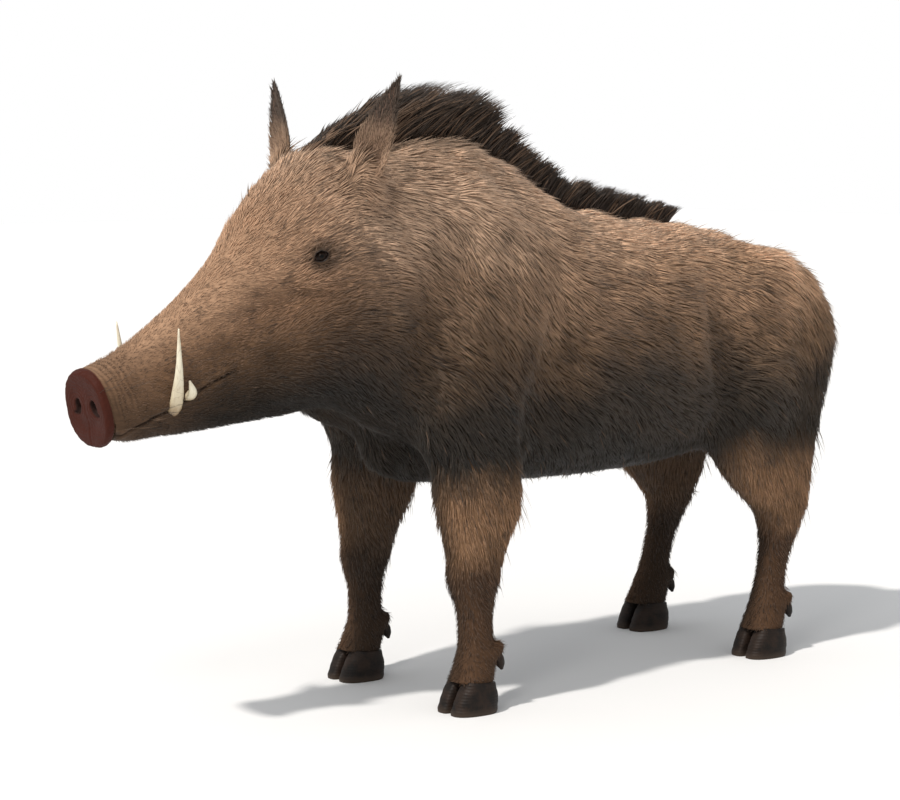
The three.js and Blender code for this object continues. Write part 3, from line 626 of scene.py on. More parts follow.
def details(V):
    """The small forms of the skin, as a displacement, with its crease and pad masks; the crease mask also paints shade
    into the folds.
    """
    N = unit(gradient(skin_d, V))
    x = np.abs(V[:, 0])
    y, z = V[:, 1], V[:, 2]
    s, t = to_head(y, z)
    sp, tp = to_pad(y, z)
    A = V * np.array([1, 1, 1])
    A[:, 0] = x
    H = np.zeros(len(V))
    crease = np.zeros(len(V))
    face = (y < -60) & (s < 520)
    # mouth
    d = t - MOUTH(s)[0] + 1.2 * wobble(A, 34, 3)
    am = smooth01(s, 4, 16) * (1 - smooth01(s, 196, 216)) * face
    groove = np.exp(-((d / 1.7) ** 2)) * am
    H += -3.4 * groove + 1.7 * np.exp(-(((d - 6.5) / 4.0) ** 2)) * am + 1.3 * np.exp(-(((d + 6.0) / 4.0) ** 2)) * am
    crease += groove
    # the lip's corner
    corner = np.exp(-(((s - 208) / 9) ** 2 + ((t + 30) / 12) ** 2)) * face
    H += -1.8 * corner
    # notch between the pad and the chin
    notch = np.exp(-(((s - 7) / 5.0) ** 2)) * smooth01(-t, 38, 52) * face
    H += -4.0 * notch
    crease += 0.6 * notch
    # wrinkles over the muzzle, behind the pad
    wr = np.sin(s * 2 * math.pi / 8.2 + 1.5 * wobble(A, 32, 5)) * smooth01(s, 6, 12) * (1 - smooth01(s, 40, 78)) * smooth01(t, -34, -6) * face
    H += 0.75 * wr
    crease += 0.35 * np.clip(-wr, 0, 1)
    # fine folds on the pad
    pad = (1 - smooth01(sp, 13, 16)) * face
    H += 0.25 * pad * np.sin(np.hypot(x - PAD["nx"], tp) * 2 * math.pi / 5.5 + wobble(A, 14, 9))
    H += -1.1 * pad * np.exp(-((x / 2.2) ** 2)) * smooth01(-tp, -20, 30)  # the groove below the middle
    # folds round the eye
    a, b, c = eye_local(V)
    rho = np.hypot(a * 0.85, b * 1.1)
    near = (np.abs(c) < 24) & (rho < 60) & face
    fold = np.sin(rho * 2 * math.pi / 7.0 + 0.8 * wobble(A, 26, 8)) * np.exp(-(((rho - 27) / 9) ** 2)) * near
    H += 0.7 * fold
    crease += 0.3 * np.clip(-fold, 0, 1)
    # folds of the neck behind the jaw, and of the joints
    nf = np.sin((y * 0.86 + z * 0.3) * 2 * math.pi / 46 + 1.2 * wobble(A, 150, 6)) * smooth01(y, -215, -170) * (1 - smooth01(y, -60, 10)) * smooth01(x, 60, 120) * (1 - smooth01(z, 690, 800))
    H += 1.8 * nf
    low = 1 - smooth01(z, 300, 360)
    H += 0.7 * np.sin(z * 2 * math.pi / 10) * (np.exp(-(((z - 84) / 14) ** 2)) + 0.8 * np.exp(-(((z - 206) / 16) ** 2))) * low
    # the cleft between the two claws
    for fx in (148.0,):
        cl = np.exp(-(((x - fx) / 4.5) ** 2)) * (1 - smooth01(z, 54, 84)) * low
        H += -5.0 * cl
        crease += 0.5 * cl
    # tendons at the back of the shins
    H += 1.2 * low * smooth01(z, 100, 130) * (1 - smooth01(z, 180, 205)) * np.cos((x - 146) / 9.0)
    # slack, uneven skin
    big = 1 - smooth01(-y, 60, 200)
    H += (1.4 * wobble(A, 120, 12) * big + 0.5 * wobble(A, 38, 13)) * smooth01(z, 60, 200)
    P = V + N * H[:, None]
    # lids and eye opening
    a, b, c = eye_local(P)
    r2 = a * a + b * b
    eye = (c > -6) & (r2 < 34**2) & face
    gap = lid_gap(a, b)
    Rl = EYE_R + 2.3
    dome = np.sqrt(np.maximum(Rl * Rl - r2, 0))
    fade = np.exp(-((np.maximum(np.sqrt(r2) - 9, 0) / 7.5) ** 2))
    rim = 0.8 * np.exp(-(((gap - 1.1) / 1.0) ** 2))
    groove2 = -1.5 * np.exp(-(((gap - 5.6) / 1.5) ** 2)) * np.where(b > 0, 1.0, 0.55)
    bag = 0.9 * np.exp(-(((gap - 9.0) / 2.4) ** 2))
    brow = 2.2 * np.exp(-(((b - 17) / 5.5) ** 2 + (a / 17.0) ** 2))
    lid = np.maximum(c, dome * fade + c * (1 - fade)) + (rim + groove2 + bag) * np.exp(-((r2 / 26**2) ** 2)) + brow
    inner = np.sqrt(np.maximum((EYE_R - 1.6) ** 2 - r2, 0))
    open_ = 1 - smooth01(gap, -0.9, 0.35)
    newc = lid * (1 - open_) + inner * open_
    move = np.where(eye, newc - c, 0)
    sgn = np.where(P[:, :1] < 0, -1.0, 1.0)
    P = P + move[:, None] * EYE_N * np.concatenate([sgn, np.ones((len(P), 2))], 1)
    wet = np.where(eye, np.exp(-((np.maximum(gap, 0) / 2.2) ** 2)), 0)
    crease = np.clip(crease + 0.55 * np.where(eye, np.exp(-(((gap - 5.6) / 1.3) ** 2)), 0), 0, 1)
    # the nostrils' mask: their painted inner shade, and bare skin there
    nostril = 1 - smooth01(nostril_d(x, y, z), -1.0, 2.5)
    nostril = np.where(s < 40, nostril * smooth01(-nose_pad_d(x, y, z), -0.6, 2.0), 0)
    return P, pad, crease, wet, nostril


def build_skin():
    V, Q = make_skin_arrays()
    T = np.zeros((0, 3), int)

    def centre(Q):
        return V[Q].mean(1)

    def level(pick_fn):
        nonlocal V, Q, T
        c = centre(Q)
        c2 = c.copy()
        c2[:, 0] = np.abs(c2[:, 0])
        s, t = to_head(c2[:, 1], c2[:, 2])
        a, b, cc = eye_local(c)
        n0 = len(V)
        pick = pick_fn(c2, s, t, np.hypot(a, b) + 3 * np.maximum(np.abs(cc) - 16, 0))
        V, Q, T = refine(V, Q, T, pick)
        new = onto(skin_d, V[n0:], 2, 1.5)
        on_mid = np.abs(V[n0:, 0]) < 1e-6
        new[on_mid, 0] = 0
        V[n0:] = new

    mouth = lambda s, t: np.abs(t - MOUTH(s)[0])
    level(lambda c, s, t, r: (c[:, 1] < -100) & ((r < 34) | (s < 46) | ((mouth(s, t) < 11) & (s < 222))))
    level(lambda c, s, t, r: (c[:, 1] < -100) & ((r < 22) | ((s < 8) & (np.hypot(c[:, 0] - 21, t - 6) < 20)) | ((mouth(s, t) < 4.5) & (s < 214) & (s > 0))))
    P, pad, crease, wet, nostril = details(V)
    return P, Q, T, dict(pad=pad, crease=crease, wet=wet, nostril=nostril)


# ------------------------------------------------------------------ lofts for ears, tail, tusks and hooves
def loft(rings, cap0=True, cap1=True):
    """Quads and cap triangles through rings, an array of (rows, sides, 3)."""
    R = np.asarray(rings, float)
    m, n = R.shape[:2]
    V = R.reshape(-1, 3)
    i, j = np.meshgrid(np.arange(m - 1), np.arange(n), indexing="ij")
    a = i * n + j
    b = i * n + (j + 1) % n
    Q = np.stack([a, b, b + n, a + n], -1).reshape(-1, 4)
    T = []
    if cap0:
        V = np.concatenate([V, R[0].mean(0)[None]])
        k = len(V) - 1
        T += [((j + 1) % n, j, k) for j in range(n)]
    if cap1:
        V = np.concatenate([V, R[-1].mean(0)[None]])
        k = len(V) - 1
        o = (m - 1) * n
        T += [(o + j, o + (j + 1) % n, k) for j in range(n)]
    T = np.array(T, int).reshape(-1, 3)
    tri = V[np.concatenate([Q[:, :3], Q[:, [0, 2, 3]]])]
    vol = np.einsum("ij,ij->i", tri[:, 0], np.cross(tri[:, 1], tri[:, 2])).sum()
    if vol < 0:
        Q, T = Q[:, ::-1], T[:, ::-1]
    return V, Q, T


def mirror(V, *faces):
    return (V * np.array([-1, 1, 1]),) + tuple(f[:, ::-1] for f in faces)


def spline(points, t):
    """Points on a smooth line through the given ones."""
    p = np.array(points, float)
    p = np.concatenate([[2 * p[0] - p[1]], p, [2 * p[-1] - p[-2]]])
    n = len(p) - 3
    u = np.clip(np.asarray(t) * n, 0, n - 1e-9)
    i = u.astype(int)
    f = (u - i)[:, None]
    a, b, c, d = p[i], p[i + 1], p[i + 2], p[i + 3]
    return 0.5 * (2 * b + (c - a) * f + (2 * a - 5 * b + 4 * c - d) * f * f + (3 * b - a - 3 * c + d) * f**3)


def ear_arrays(rows=34, sides=44):
    up = EAR_TIP - EAR_BASE
    length = np.linalg.norm(up)
    up = up / length
    face = unit(EAR_FACE - up * (EAR_FACE @ up))
    across = np.cross(up, face)
    t = np.linspace(0, 1, rows)
    wid = np.interp((-34 + (length + 32) * t + 14) / (length + 14), np.linspace(0, 1, 7), np.array(EAR_WIDTH, float))
    k = np.ones(5) / 5
    wid = np.convolve(np.pad(wid, 2, mode="edge"), k, "valid")
    wid = wid * (1 - 0.55 * smooth01(t, 0.9, 1.0)) - 1.2
    a = np.linspace(0, 2 * math.pi, sides, endpoint=False)
    R = []
    for i in range(rows):
        ti = t[i]
        c = EAR_BASE + up * (-34 + (length + 32) * ti) + face * (-10 * ti * (1 - ti)) - np.array([14.0, 0, 0]) * (1 - smooth01(ti, 0, 0.22))
        # the base is nearly a tube, the blade opens forwards
        roll = 1 - smooth01(ti, 0.10, 0.38)
        thick = (4.2 * (1 - 0.5 * ti) + 9 * roll) * (1 - 0.6 * smooth01(ti, 0.93, 1.0))
        cup = 15 * (1 - 0.72 * ti) * (1 - roll * 0.7)
        u = np.cos(a) * wid[i]
        v = np.sin(a) * thick
        un = np.cos(a)
        bend = cup * (np.abs(un) ** 2.2 - 0.35)
        ribs = 0.9 * np.sin(un * 9.0) * (np.sin(a) > 0) * (1 - roll) * (1 - ti)
        R.append(c + across * u[:, None] + face * (v + bend + ribs)[:, None])
    return loft(R)


def tail_arrays(rows=30, sides=14):
    T_ = np.array(TAIL, float)
    t = np.linspace(0, 1, rows)
    pts = spline(np.stack([0 * T_[:, 0], T_[:, 0], T_[:, 1]], 1), t)
    rad = np.interp(t, np.linspace(0, 1, 9), [20, 15, 11, 8.5, 7.5, 6.5, 5.5, 4.5, 2.0])
    R = []
    for i in range(rows):
        d = unit(pts[min(i + 1, rows - 1)] - pts[max(i - 1, 0)])
        x = np.array([1.0, 0, 0])
        n = np.cross(d, x)
        a = np.linspace(0, 2 * math.pi, sides, endpoint=False)
        o = np.array([0, -14.0, 0]) if i == 0 else np.array([0, -4.0 * (1 - t[i]), 0])
        R.append(pts[i] + o + np.outer(np.cos(a), x) * rad[i] + np.outer(np.sin(a), n) * rad[i] * 0.9)
    return loft(R)


def join_parts(parts):
    Vs, Qs, Ts, off = [], [], [], 0
    for V, Q, T in parts:
        Vs.append(V)
        Qs.append(Q + off)
        Ts.append(T + off)
        off += len(V)
    return np.concatenate(Vs), np.concatenate(Qs), np.concatenate(Ts)


def to_mesh(name, V, Q=None, T=None, smooth=True):
    me = bpy.data.meshes.new(name)
    Q = np.zeros((0, 4), int) if Q is None else Q
    T = np.zeros((0, 3), int) if T is None else T
    co = ((V + np.array([0, SHIFT_Y, 0])) / 1000).astype(np.float32)
    me.vertices.add(len(V))
    me.vertices.foreach_set("co", co.ravel())
    me.loops.add(len(Q) * 4 + len(T) * 3)
    me.loops.foreach_set("vertex_index", np.concatenate([Q.ravel(), T.ravel()]).astype(np.int32))
    me.polygons.add(len(Q) + len(T))
    starts = np.concatenate([np.arange(len(Q)) * 4, len(Q) * 4 + np.arange(len(T)) * 3]).astype(np.int32)
    me.polygons.foreach_set("loop_start", starts)
    me.update(calc_edges=True)
    me.validate()
    if smooth:
        me.shade_smooth()
    ob = bpy.data.objects.new(name, me)
    bpy.context.scene.collection.objects.link(ob)
    return ob


def attr(ob, name, values, kind="FLOAT"):
    at = ob.data.attributes.new(name, kind, "POINT")
    v = np.asarray(values, np.float32)
    at.data.foreach_set("vector" if kind == "FLOAT_VECTOR" else "value", v.ravel())


def normals_of(V, Q, T):
    n = np.zeros_like(V)
    tri = np.concatenate([Q[:, [0, 1, 2]], Q[:, [0, 2, 3]], T]) if len(T) else np.concatenate([Q[:, [0, 1, 2]], Q[:, [0, 2, 3]]])
    f = np.cross(V[tri[:, 1]] - V[tri[:, 0]], V[tri[:, 2]] - V[tri[:, 0]])
    for k in range(3):
        for a in range(3):
            n[:, a] += np.bincount(tri[:, k], f[:, a], len(V))
    return unit(n), tri


# ------------------------------------------------------------------ tufts
def strands(R, N, D, L, W, l0, l1, ts, wp, pull=None, flat=0.42, sink=1.2):
    """Tapering three-sided tufts from roots R, leaving the skin along D. Returns vertices, triangles, and t at each vertex."""
    n = len(R)
    B = unit(np.cross(N, D))
    k = len(ts)
    rings = []
    for t, w in zip(ts, wp):
        am = l0 + (l1 - l0) * t * 0.5
        a = l0 + (l1 - l0) * t
        c = R + (L * t)[:, None] * (D * np.cos(am)[:, None] + N * np.sin(am)[:, None])
        c = c - N * (sink * (1 - t))
        if pull is not None:
            c = c + pull * (t * t)
        if w == 0:
            rings.append(c[:, None, :])
            continue
        U = -D * np.sin(a)[:, None] + N * np.cos(a)[:, None]
        ww = (W * w)[:, None]
        rings.append(np.stack([c - B * ww * 0.5 - U * ww * flat * 0.35, c + B * ww * 0.5 - U * ww * flat * 0.35, c + U * ww * flat * 0.65], 1))
    V = np.concatenate(rings, 1)
    m = V.shape[1]
    F = [(0, 2, 1)]
    for r in range(k - 2):
        for j in range(3):
            a, b = r * 3 + j, r * 3 + (j + 1) % 3
            F += [(a, b, b + 3), (a, b + 3, a + 3)]
    o = (k - 2) * 3
    F += [(o + j, o + (j + 1) % 3, m - 1) for j in range(3)]
    F = np.array(F)
    T = (F[None] + (np.arange(n) * m)[:, None, None]).reshape(-1, 3)
    tt = np.concatenate([np.repeat(t, 1 if w == 0 else 3) for t, w in zip(ts, wp)])
    return V.reshape(-1, 3), T, np.tile(tt, n), m


FINE_RINGS = ([0.0, 0.46, 1.0], [0.85, 1.0, 0])
LONG_RINGS = ([0.0, 0.26, 0.54, 0.8, 1.0], [0.8, 1.0, 0.85, 0.55, 0])
PIECES = []


def tuft_piece(name, mat, sets, uv, nodes=(), limit=199000):
    """Joins sets of strands into one mesh with its root, length and random attributes and its bake map."""
    Vs, Ts, roots, tts, rnd, uvs, off, tris = [], [], [], [], [], [], 0, 0
    for st in sets:
        st = dict(st)
        rings = st.pop("rings")
        rr = st.pop("rand")
        n = len(st["R"])
        per = (len(rings[0]) - 2) * 6 + 4
        room = max(0, (limit - tris) // per)
        if n > room:
            print("COAT", name, "over its room:", n, room)
            keep = np.random.default_rng(5).permutation(n)[:room]
            st = {k: (v[keep] if isinstance(v, np.ndarray) and len(v) == n else v) for k, v in st.items()}
            rr = rr[keep]
            n = room
        V, T, tt, m = strands(ts=rings[0], wp=rings[1], **st)
        tris += len(T)
        Vs.append(V)
        Ts.append(T + off)
        off += len(V)
        roots.append(np.repeat(st["R"], m, 0))
        tts.append(tt)
        rnd.append(np.repeat(rr, m))
        u = uv(st["R"])
        a = np.tile(np.arange(m) * (2 * math.pi / 3) + 0.4, n)
        uvs.append(np.repeat(u, m, 0) + 0.0015 * np.stack([np.cos(a), np.sin(a)], 1) * (1 - 0.75 * (np.tile(np.arange(m), n) == m - 1))[:, None])
    V, T = np.concatenate(Vs), np.concatenate(Ts)
    ob = to_mesh(name, V, None, T)
    attr(ob, "root", (np.concatenate(roots) + np.array([0, SHIFT_Y, 0])) / 1000, "FLOAT_VECTOR")
    attr(ob, "tuft_t", np.concatenate(tts))
    attr(ob, "tuft_r", np.concatenate(rnd))
    lay = ob.data.uv_layers.new(name="OFBake")
    idx = np.empty(len(ob.data.loops), np.int32)
    ob.data.loops.foreach_get("vertex_index", idx)
    q = np.clip(np.concatenate(uvs), 0.0, 1.0)
    lay.data.foreach_set("uv", q[idx].astype(np.float32).ravel())
    done(ob, mat, nodes)
    PIECES.append((name, len(T)))
    return ob


def done(ob, mat, nodes=()):
    ob.data.materials.append(mat)
    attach(ob, "root")
    if nodes:
        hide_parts(*nodes)
    return ob


def chart(kind, lo, hi):
    """The skin unrolled: round the body's, head's or leg's own axis, and along it."""

    def f(R):
        if kind == "body":
            top, bottom, w, mid, nu, nd = trunk_t(R[:, 1])
            a = np.arctan2(np.abs(R[:, 0]), R[:, 2] - mid) / math.pi
            b = (R[:, 1] - lo) / (hi - lo)
        elif kind == "head":
            s, t = to_head(R[:, 1], R[:, 2])
            a = np.arctan2(np.abs(R[:, 0]), t + 10) / math.pi
            b = (s - lo) / (hi - lo)
        elif kind == "leg":
            fore = R[:, 1] < 330
            left = R[:, 0] > 0
            cf = fore_t(R[:, 2])
            ch = hind_t(R[:, 2])
            cx = np.where(fore, cf[0], ch[0])
            cy = np.where(fore, (cf[1] + cf[2]) / 2, (ch[1] + ch[2]) / 2)
            a = (np.arctan2(np.abs(R[:, 0]) - cx, R[:, 1] - cy) / (2 * math.pi) + 0.5) * 0.49 + 0.5 * left
            b = (R[:, 2] - lo) / (hi - lo)
        elif kind == "strip":
            a = R[:, 0] / 60 + 0.5
            b = (R[:, 1] - lo) / (hi - lo)
        elif kind == "ear":
            q = R * np.where(R[:, :1] < 0, np.array([-1.0, 1, 1]), 1.0) - EAR_BASE
            up = unit(EAR_TIP - EAR_BASE)
            h = q @ up
            side = np.cross(up, EAR_FACE)
            w = q @ unit(side)
            front = (q @ EAR_FACE) > 6
            a = 0.125 + w / 84 * 0.22 + 0.25 * front + 0.5 * (R[:, 0] < 0)
            b = (h - lo) / (hi - lo)
        else:
            a = (np.arctan2(R[:, 0], R[:, 1] - 900) / (2 * math.pi)) + 0.5
            b = (R[:, 2] - lo) / (hi - lo)
        return np.stack([0.003 + 0.994 * np.clip(a, 0, 1), 0.003 + 0.994 * np.clip(b, 0, 1)], 1)

    return f


def scatter(V, tri, N, weight, n, seed):
    """n points spread evenly by area and weight, with the skin's normal there."""
    r = np.random.default_rng(seed)
    a, b, c = V[tri[:, 0]], V[tri[:, 1]], V[tri[:, 2]]
    area = np.linalg.norm(np.cross(b - a, c - a), axis=1) * 0.5 * weight
    cum = np.cumsum(area)
    i = np.searchsorted(cum, (np.arange(n) + r.random(n)) / n * cum[-1])
    i = np.minimum(i, len(tri) - 1)
    u, v = r.random(n), r.random(n)
    f = u + v > 1
    u, v = np.where(f, 1 - u, u), np.where(f, 1 - v, v)
    w = np.stack([1 - u - v, u, v], 1)
    P = (V[tri[i]] * w[:, :, None]).sum(1)
    Nn = unit((N[tri[i]] * w[:, :, None]).sum(1))
    return P, Nn


def flow(R, N):
    """The lie of the coat: back along the body, down the flanks, rump and legs, and back from the snout."""
    x, y, z = np.abs(R[:, 0]), R[:, 1], R[:, 2]
    sg = np.where(R[:, 0] < 0, -1.0, 1.0)
    s, t = to_head(y, z)
    n = len(R)
    side = smooth01(np.abs(N[:, 0]), 0.25, 0.85)

    def vec(a, b, c):
        return np.stack([np.broadcast_to(q, (n,)) * 1.0 for q in (a, b, c)], 1)

    D = vec(0, 1, -0.1 - 0.34 * side)
    w = smooth01(y, -120, -20) * (1 - smooth01(y, 130, 260)) * side * (1 - smooth01(z, 700, 860))
    D += w[:, None] * vec(0, -0.25, -0.55)
    w = smooth01(y, 560, 760)
    D += w[:, None] * (vec(0, 0.1, -1.1) - D * 0.75)
    leg = 1 - smooth01(z, 330, 500)
    D += leg[:, None] * (vec(0, 0.16, -1) - D)
    chest = (1 - smooth01(y, -60, 60)) * (1 - smooth01(z, 470, 620)) * (y > -300) * (s > 300)
    D += (chest * 0.85)[:, None] * (vec(0, 0.45, -1) - D)
    head = (1 - smooth01(s, 380, 520)) * (y < -60)
    cheek = smooth01(-t, -10, 110) * smooth01(s, 170, 340)
    D += head[:, None] * (vec(0.10 * sg * smooth01(s, 200, 330), HC + 0.3 * HS * cheek, HS * (1 - cheek) - 0.55 * cheek) - D)
    A = R.copy()
    D = unit(D) + 0.16 * np.stack([wobble(A, 170, 21), wobble(A, 190, 22), wobble(A, 180, 23)], 1) + 0.13 * np.stack([wobble(A, 42, 24), wobble(A, 48, 25), wobble(A, 45, 26)], 1)
    D -= N * (D * N).sum(1)[:, None]
    return unit(D)


def coat_length(R, N):
    y, z = R[:, 1], R[:, 2]
    s, t = to_head(y, z)
    by_head = np.interp(s, [14, 60, 120, 200, 300, 400, 480, 560], [4, 6.5, 8.5, 11.5, 15, 22, 31, 40])
    by_leg = np.interp(z, [50, 60, 100, 180, 260, 340, 440, 540], [8, 9, 11, 14, 19, 25, 33, 37])
    L = np.where(y < -60, np.minimum(by_head, 42), np.minimum(by_leg, 37))
    belly = smooth01(-N[:, 2], 0.3, 0.9)
    hump = smooth01(N[:, 2], 0.2, 0.9) * (1 - smooth01(y, 260, 460)) * smooth01(y, -220, -120)
    return L * (1 - 0.18 * belly) * (1 + 0.14 * hump)


def clumps(R, size, seed):
    """The middle of each root's clump."""
    r = np.random.default_rng(seed)
    q = R + 0.35 * size * np.stack([wobble(R, size * 2.3, seed + k) for k in range(3)], 1)
    key = np.floor(q / size + r.random(3)).astype(np.int64)
    _, inv = np.unique(key @ np.array([1, 4096, 4096 * 4096]), return_inverse=True)
    inv = inv.ravel()
    c = np.maximum(np.bincount(inv), 1)
    return np.stack([np.bincount(inv, R[:, a]) / c for a in range(3)], 1)[inv], inv


def lift_clear(st):
    """Raises the tufts that would run into the skin ahead of them, as in a hollow or at the root of an ear."""
    R, N, D, L, pull = (st[k] for k in ("R", "N", "D", "L", "pull"))
    for f, need in ((0.5, 1.4), (1.0, 2.6), (0.5, 1.4), (1.0, 2.6)):
        am = st["l0"] + (st["l1"] - st["l0"]) * f * 0.5
        P = R + (L * f)[:, None] * (D * np.cos(am)[:, None] + N * np.sin(am)[:, None]) + pull * f * f
        more = np.clip((need - skin_d(P[:, 0], P[:, 1], P[:, 2])) / (L * f), 0, 0.7)
        st["l0"] = np.minimum(st["l0"] + more, 1.35)
        st["l1"] = np.minimum(st["l1"] + more, 1.35)
    return st


def coat_set(R, N, rings, seed, length=1.0, width=1.0, lift=(13, 4), tip=(3, 5), jitter=0.08, pull=0.30):
    r = np.random.default_rng(seed)
    n = len(R)
    D = flow(R, N)
    D = unit(D + r.normal(0, jitter, (n, 3)))
    D -= N * (D * N).sum(1)[:, None]
    D = unit(D)
    base = coat_length(R, N)
    L = base * length * r.uniform(0.72, 1.18, n)
    W = np.interp(L, [4, 10, 20, 40, 55], [0.85, 1.15, 1.5, 1.95, 2.3]) * width * r.uniform(0.8, 1.2, n)
    size = np.median(base) * 0.62 + 4
    C, inv = clumps(R, size, seed)
    p = (C - R) * pull
    p -= N * (p * N).sum(1)[:, None]
    ck = np.random.default_rng(seed + 1).normal(0, 1, inv.max() + 1)[inv]
    rad = math.pi / 180
    l0 = (lift[0] + lift[1] * 0.6 * ck + r.normal(0, lift[1] * 0.6, n)) * rad
    l1 = (tip[0] + tip[1] * 0.6 * ck + r.normal(0, tip[1] * 0.6, n)) * rad
    l0 = np.clip(l0, 0.07, 0.7)
    rand = np.clip(0.5 + 0.16 * ck + r.normal(0, 0.17, n), 0, 1)
    return lift_clear(dict(R=R, N=N, D=D, L=L, W=W, l0=l0, l1=np.maximum(l1, -l0 * 0.75), pull=p, rings=rings, rand=rand))


# ------------------------------------------------------------------ materials
class Tree:
    def __init__(self, tree):
        self.t = tree
        self.t.nodes.clear()

    def add(self, kind, *ins, **props):
        n = self.t.nodes.new(kind)
        for k, v in props.items():
            setattr(n, k, v)
        for k, v in enumerate(ins):
            self.put(n.inputs[k], v)
        return n

    def put(self, socket, v):
        if v is None:
            return
        if isinstance(v, bpy.types.NodeSocket):
            self.t.links.new(v, socket)
        elif isinstance(v, bpy.types.Node):
            self.t.links.new(v.outputs[0], socket)
        elif isinstance(v, (tuple, list)):
            socket.default_value = tuple(v) + (1.0,) if (socket.type == "RGBA" and len(v) == 3) else tuple(v)
        else:
            socket.default_value = v

    def math(self, op, a, b=None, c=None, clamp=False):
        n = self.t.nodes.new("ShaderNodeMath")
        n.operation = op
        n.use_clamp = clamp
        for k, v in enumerate((a, b, c)):
            self.put(n.inputs[k], v)
        return n.outputs[0]

    def step(self, v, lo, hi, a=0.0, b=1.0):
        n = self.t.nodes.new("ShaderNodeMapRange")
        n.interpolation_type = "SMOOTHSTEP"
        for k, q in zip(("Value", "From Min", "From Max", "To Min", "To Max"), (v, lo, hi, a, b)):
            self.put(n.inputs[k], q)
        return n.outputs[0]

    def mix(self, f, a, b, mode="MIX"):
        n = self.t.nodes.new("ShaderNodeMix")
        n.data_type = "RGBA"
        n.blend_type = mode
        n.clamp_factor = True
        self.put(n.inputs[0], f)
        self.put(n.inputs[6], a)
        self.put(n.inputs[7], b)
        return n.outputs[2]

    def noise(self, vec, scale, detail=3.0, rough=0.55, dist=0.0):
        n = self.t.nodes.new("ShaderNodeTexNoise")
        self.put(n.inputs["Vector"], vec)
        n.inputs["Scale"].default_value = scale
        n.inputs["Detail"].default_value = detail
        n.inputs["Roughness"].default_value = rough
        n.inputs["Distortion"].default_value = dist
        return n.outputs[0]

    def attribute(self, name, vector=False):
        n = self.t.nodes.new("ShaderNodeAttribute")
        n.attribute_name = name
        return n.outputs["Vector" if vector else "Fac"]

    def stretch(self, vec, sx, sy, sz, rot=(0, 0, 0)):
        n = self.t.nodes.new("ShaderNodeMapping")
        self.put(n.inputs["Vector"], vec)
        n.inputs["Scale"].default_value = (sx, sy, sz)
        n.inputs["Rotation"].default_value = rot
        return n.outputs[0]

    def ramp(self, f, *stops):
        n = self.t.nodes.new("ShaderNodeValToRGB")
        self.put(n.inputs[0], f)
        e = n.color_ramp.elements
        while len(e) < len(stops):
            e.new(0.5)
        for k, (p, c) in enumerate(stops):
            e[k].position = p
            e[k].color = tuple(c) + (1,)
        return n.outputs[0]

    def bump(self, height, strength, distance, normal=None):
        n = self.t.nodes.new("ShaderNodeBump")
        n.inputs["Strength"].default_value = strength
        n.inputs["Distance"].default_value = distance
        self.put(n.inputs["Height"], height)
        if normal is not None:
            self.put(n.inputs["Normal"], normal)
        return n.outputs[0]


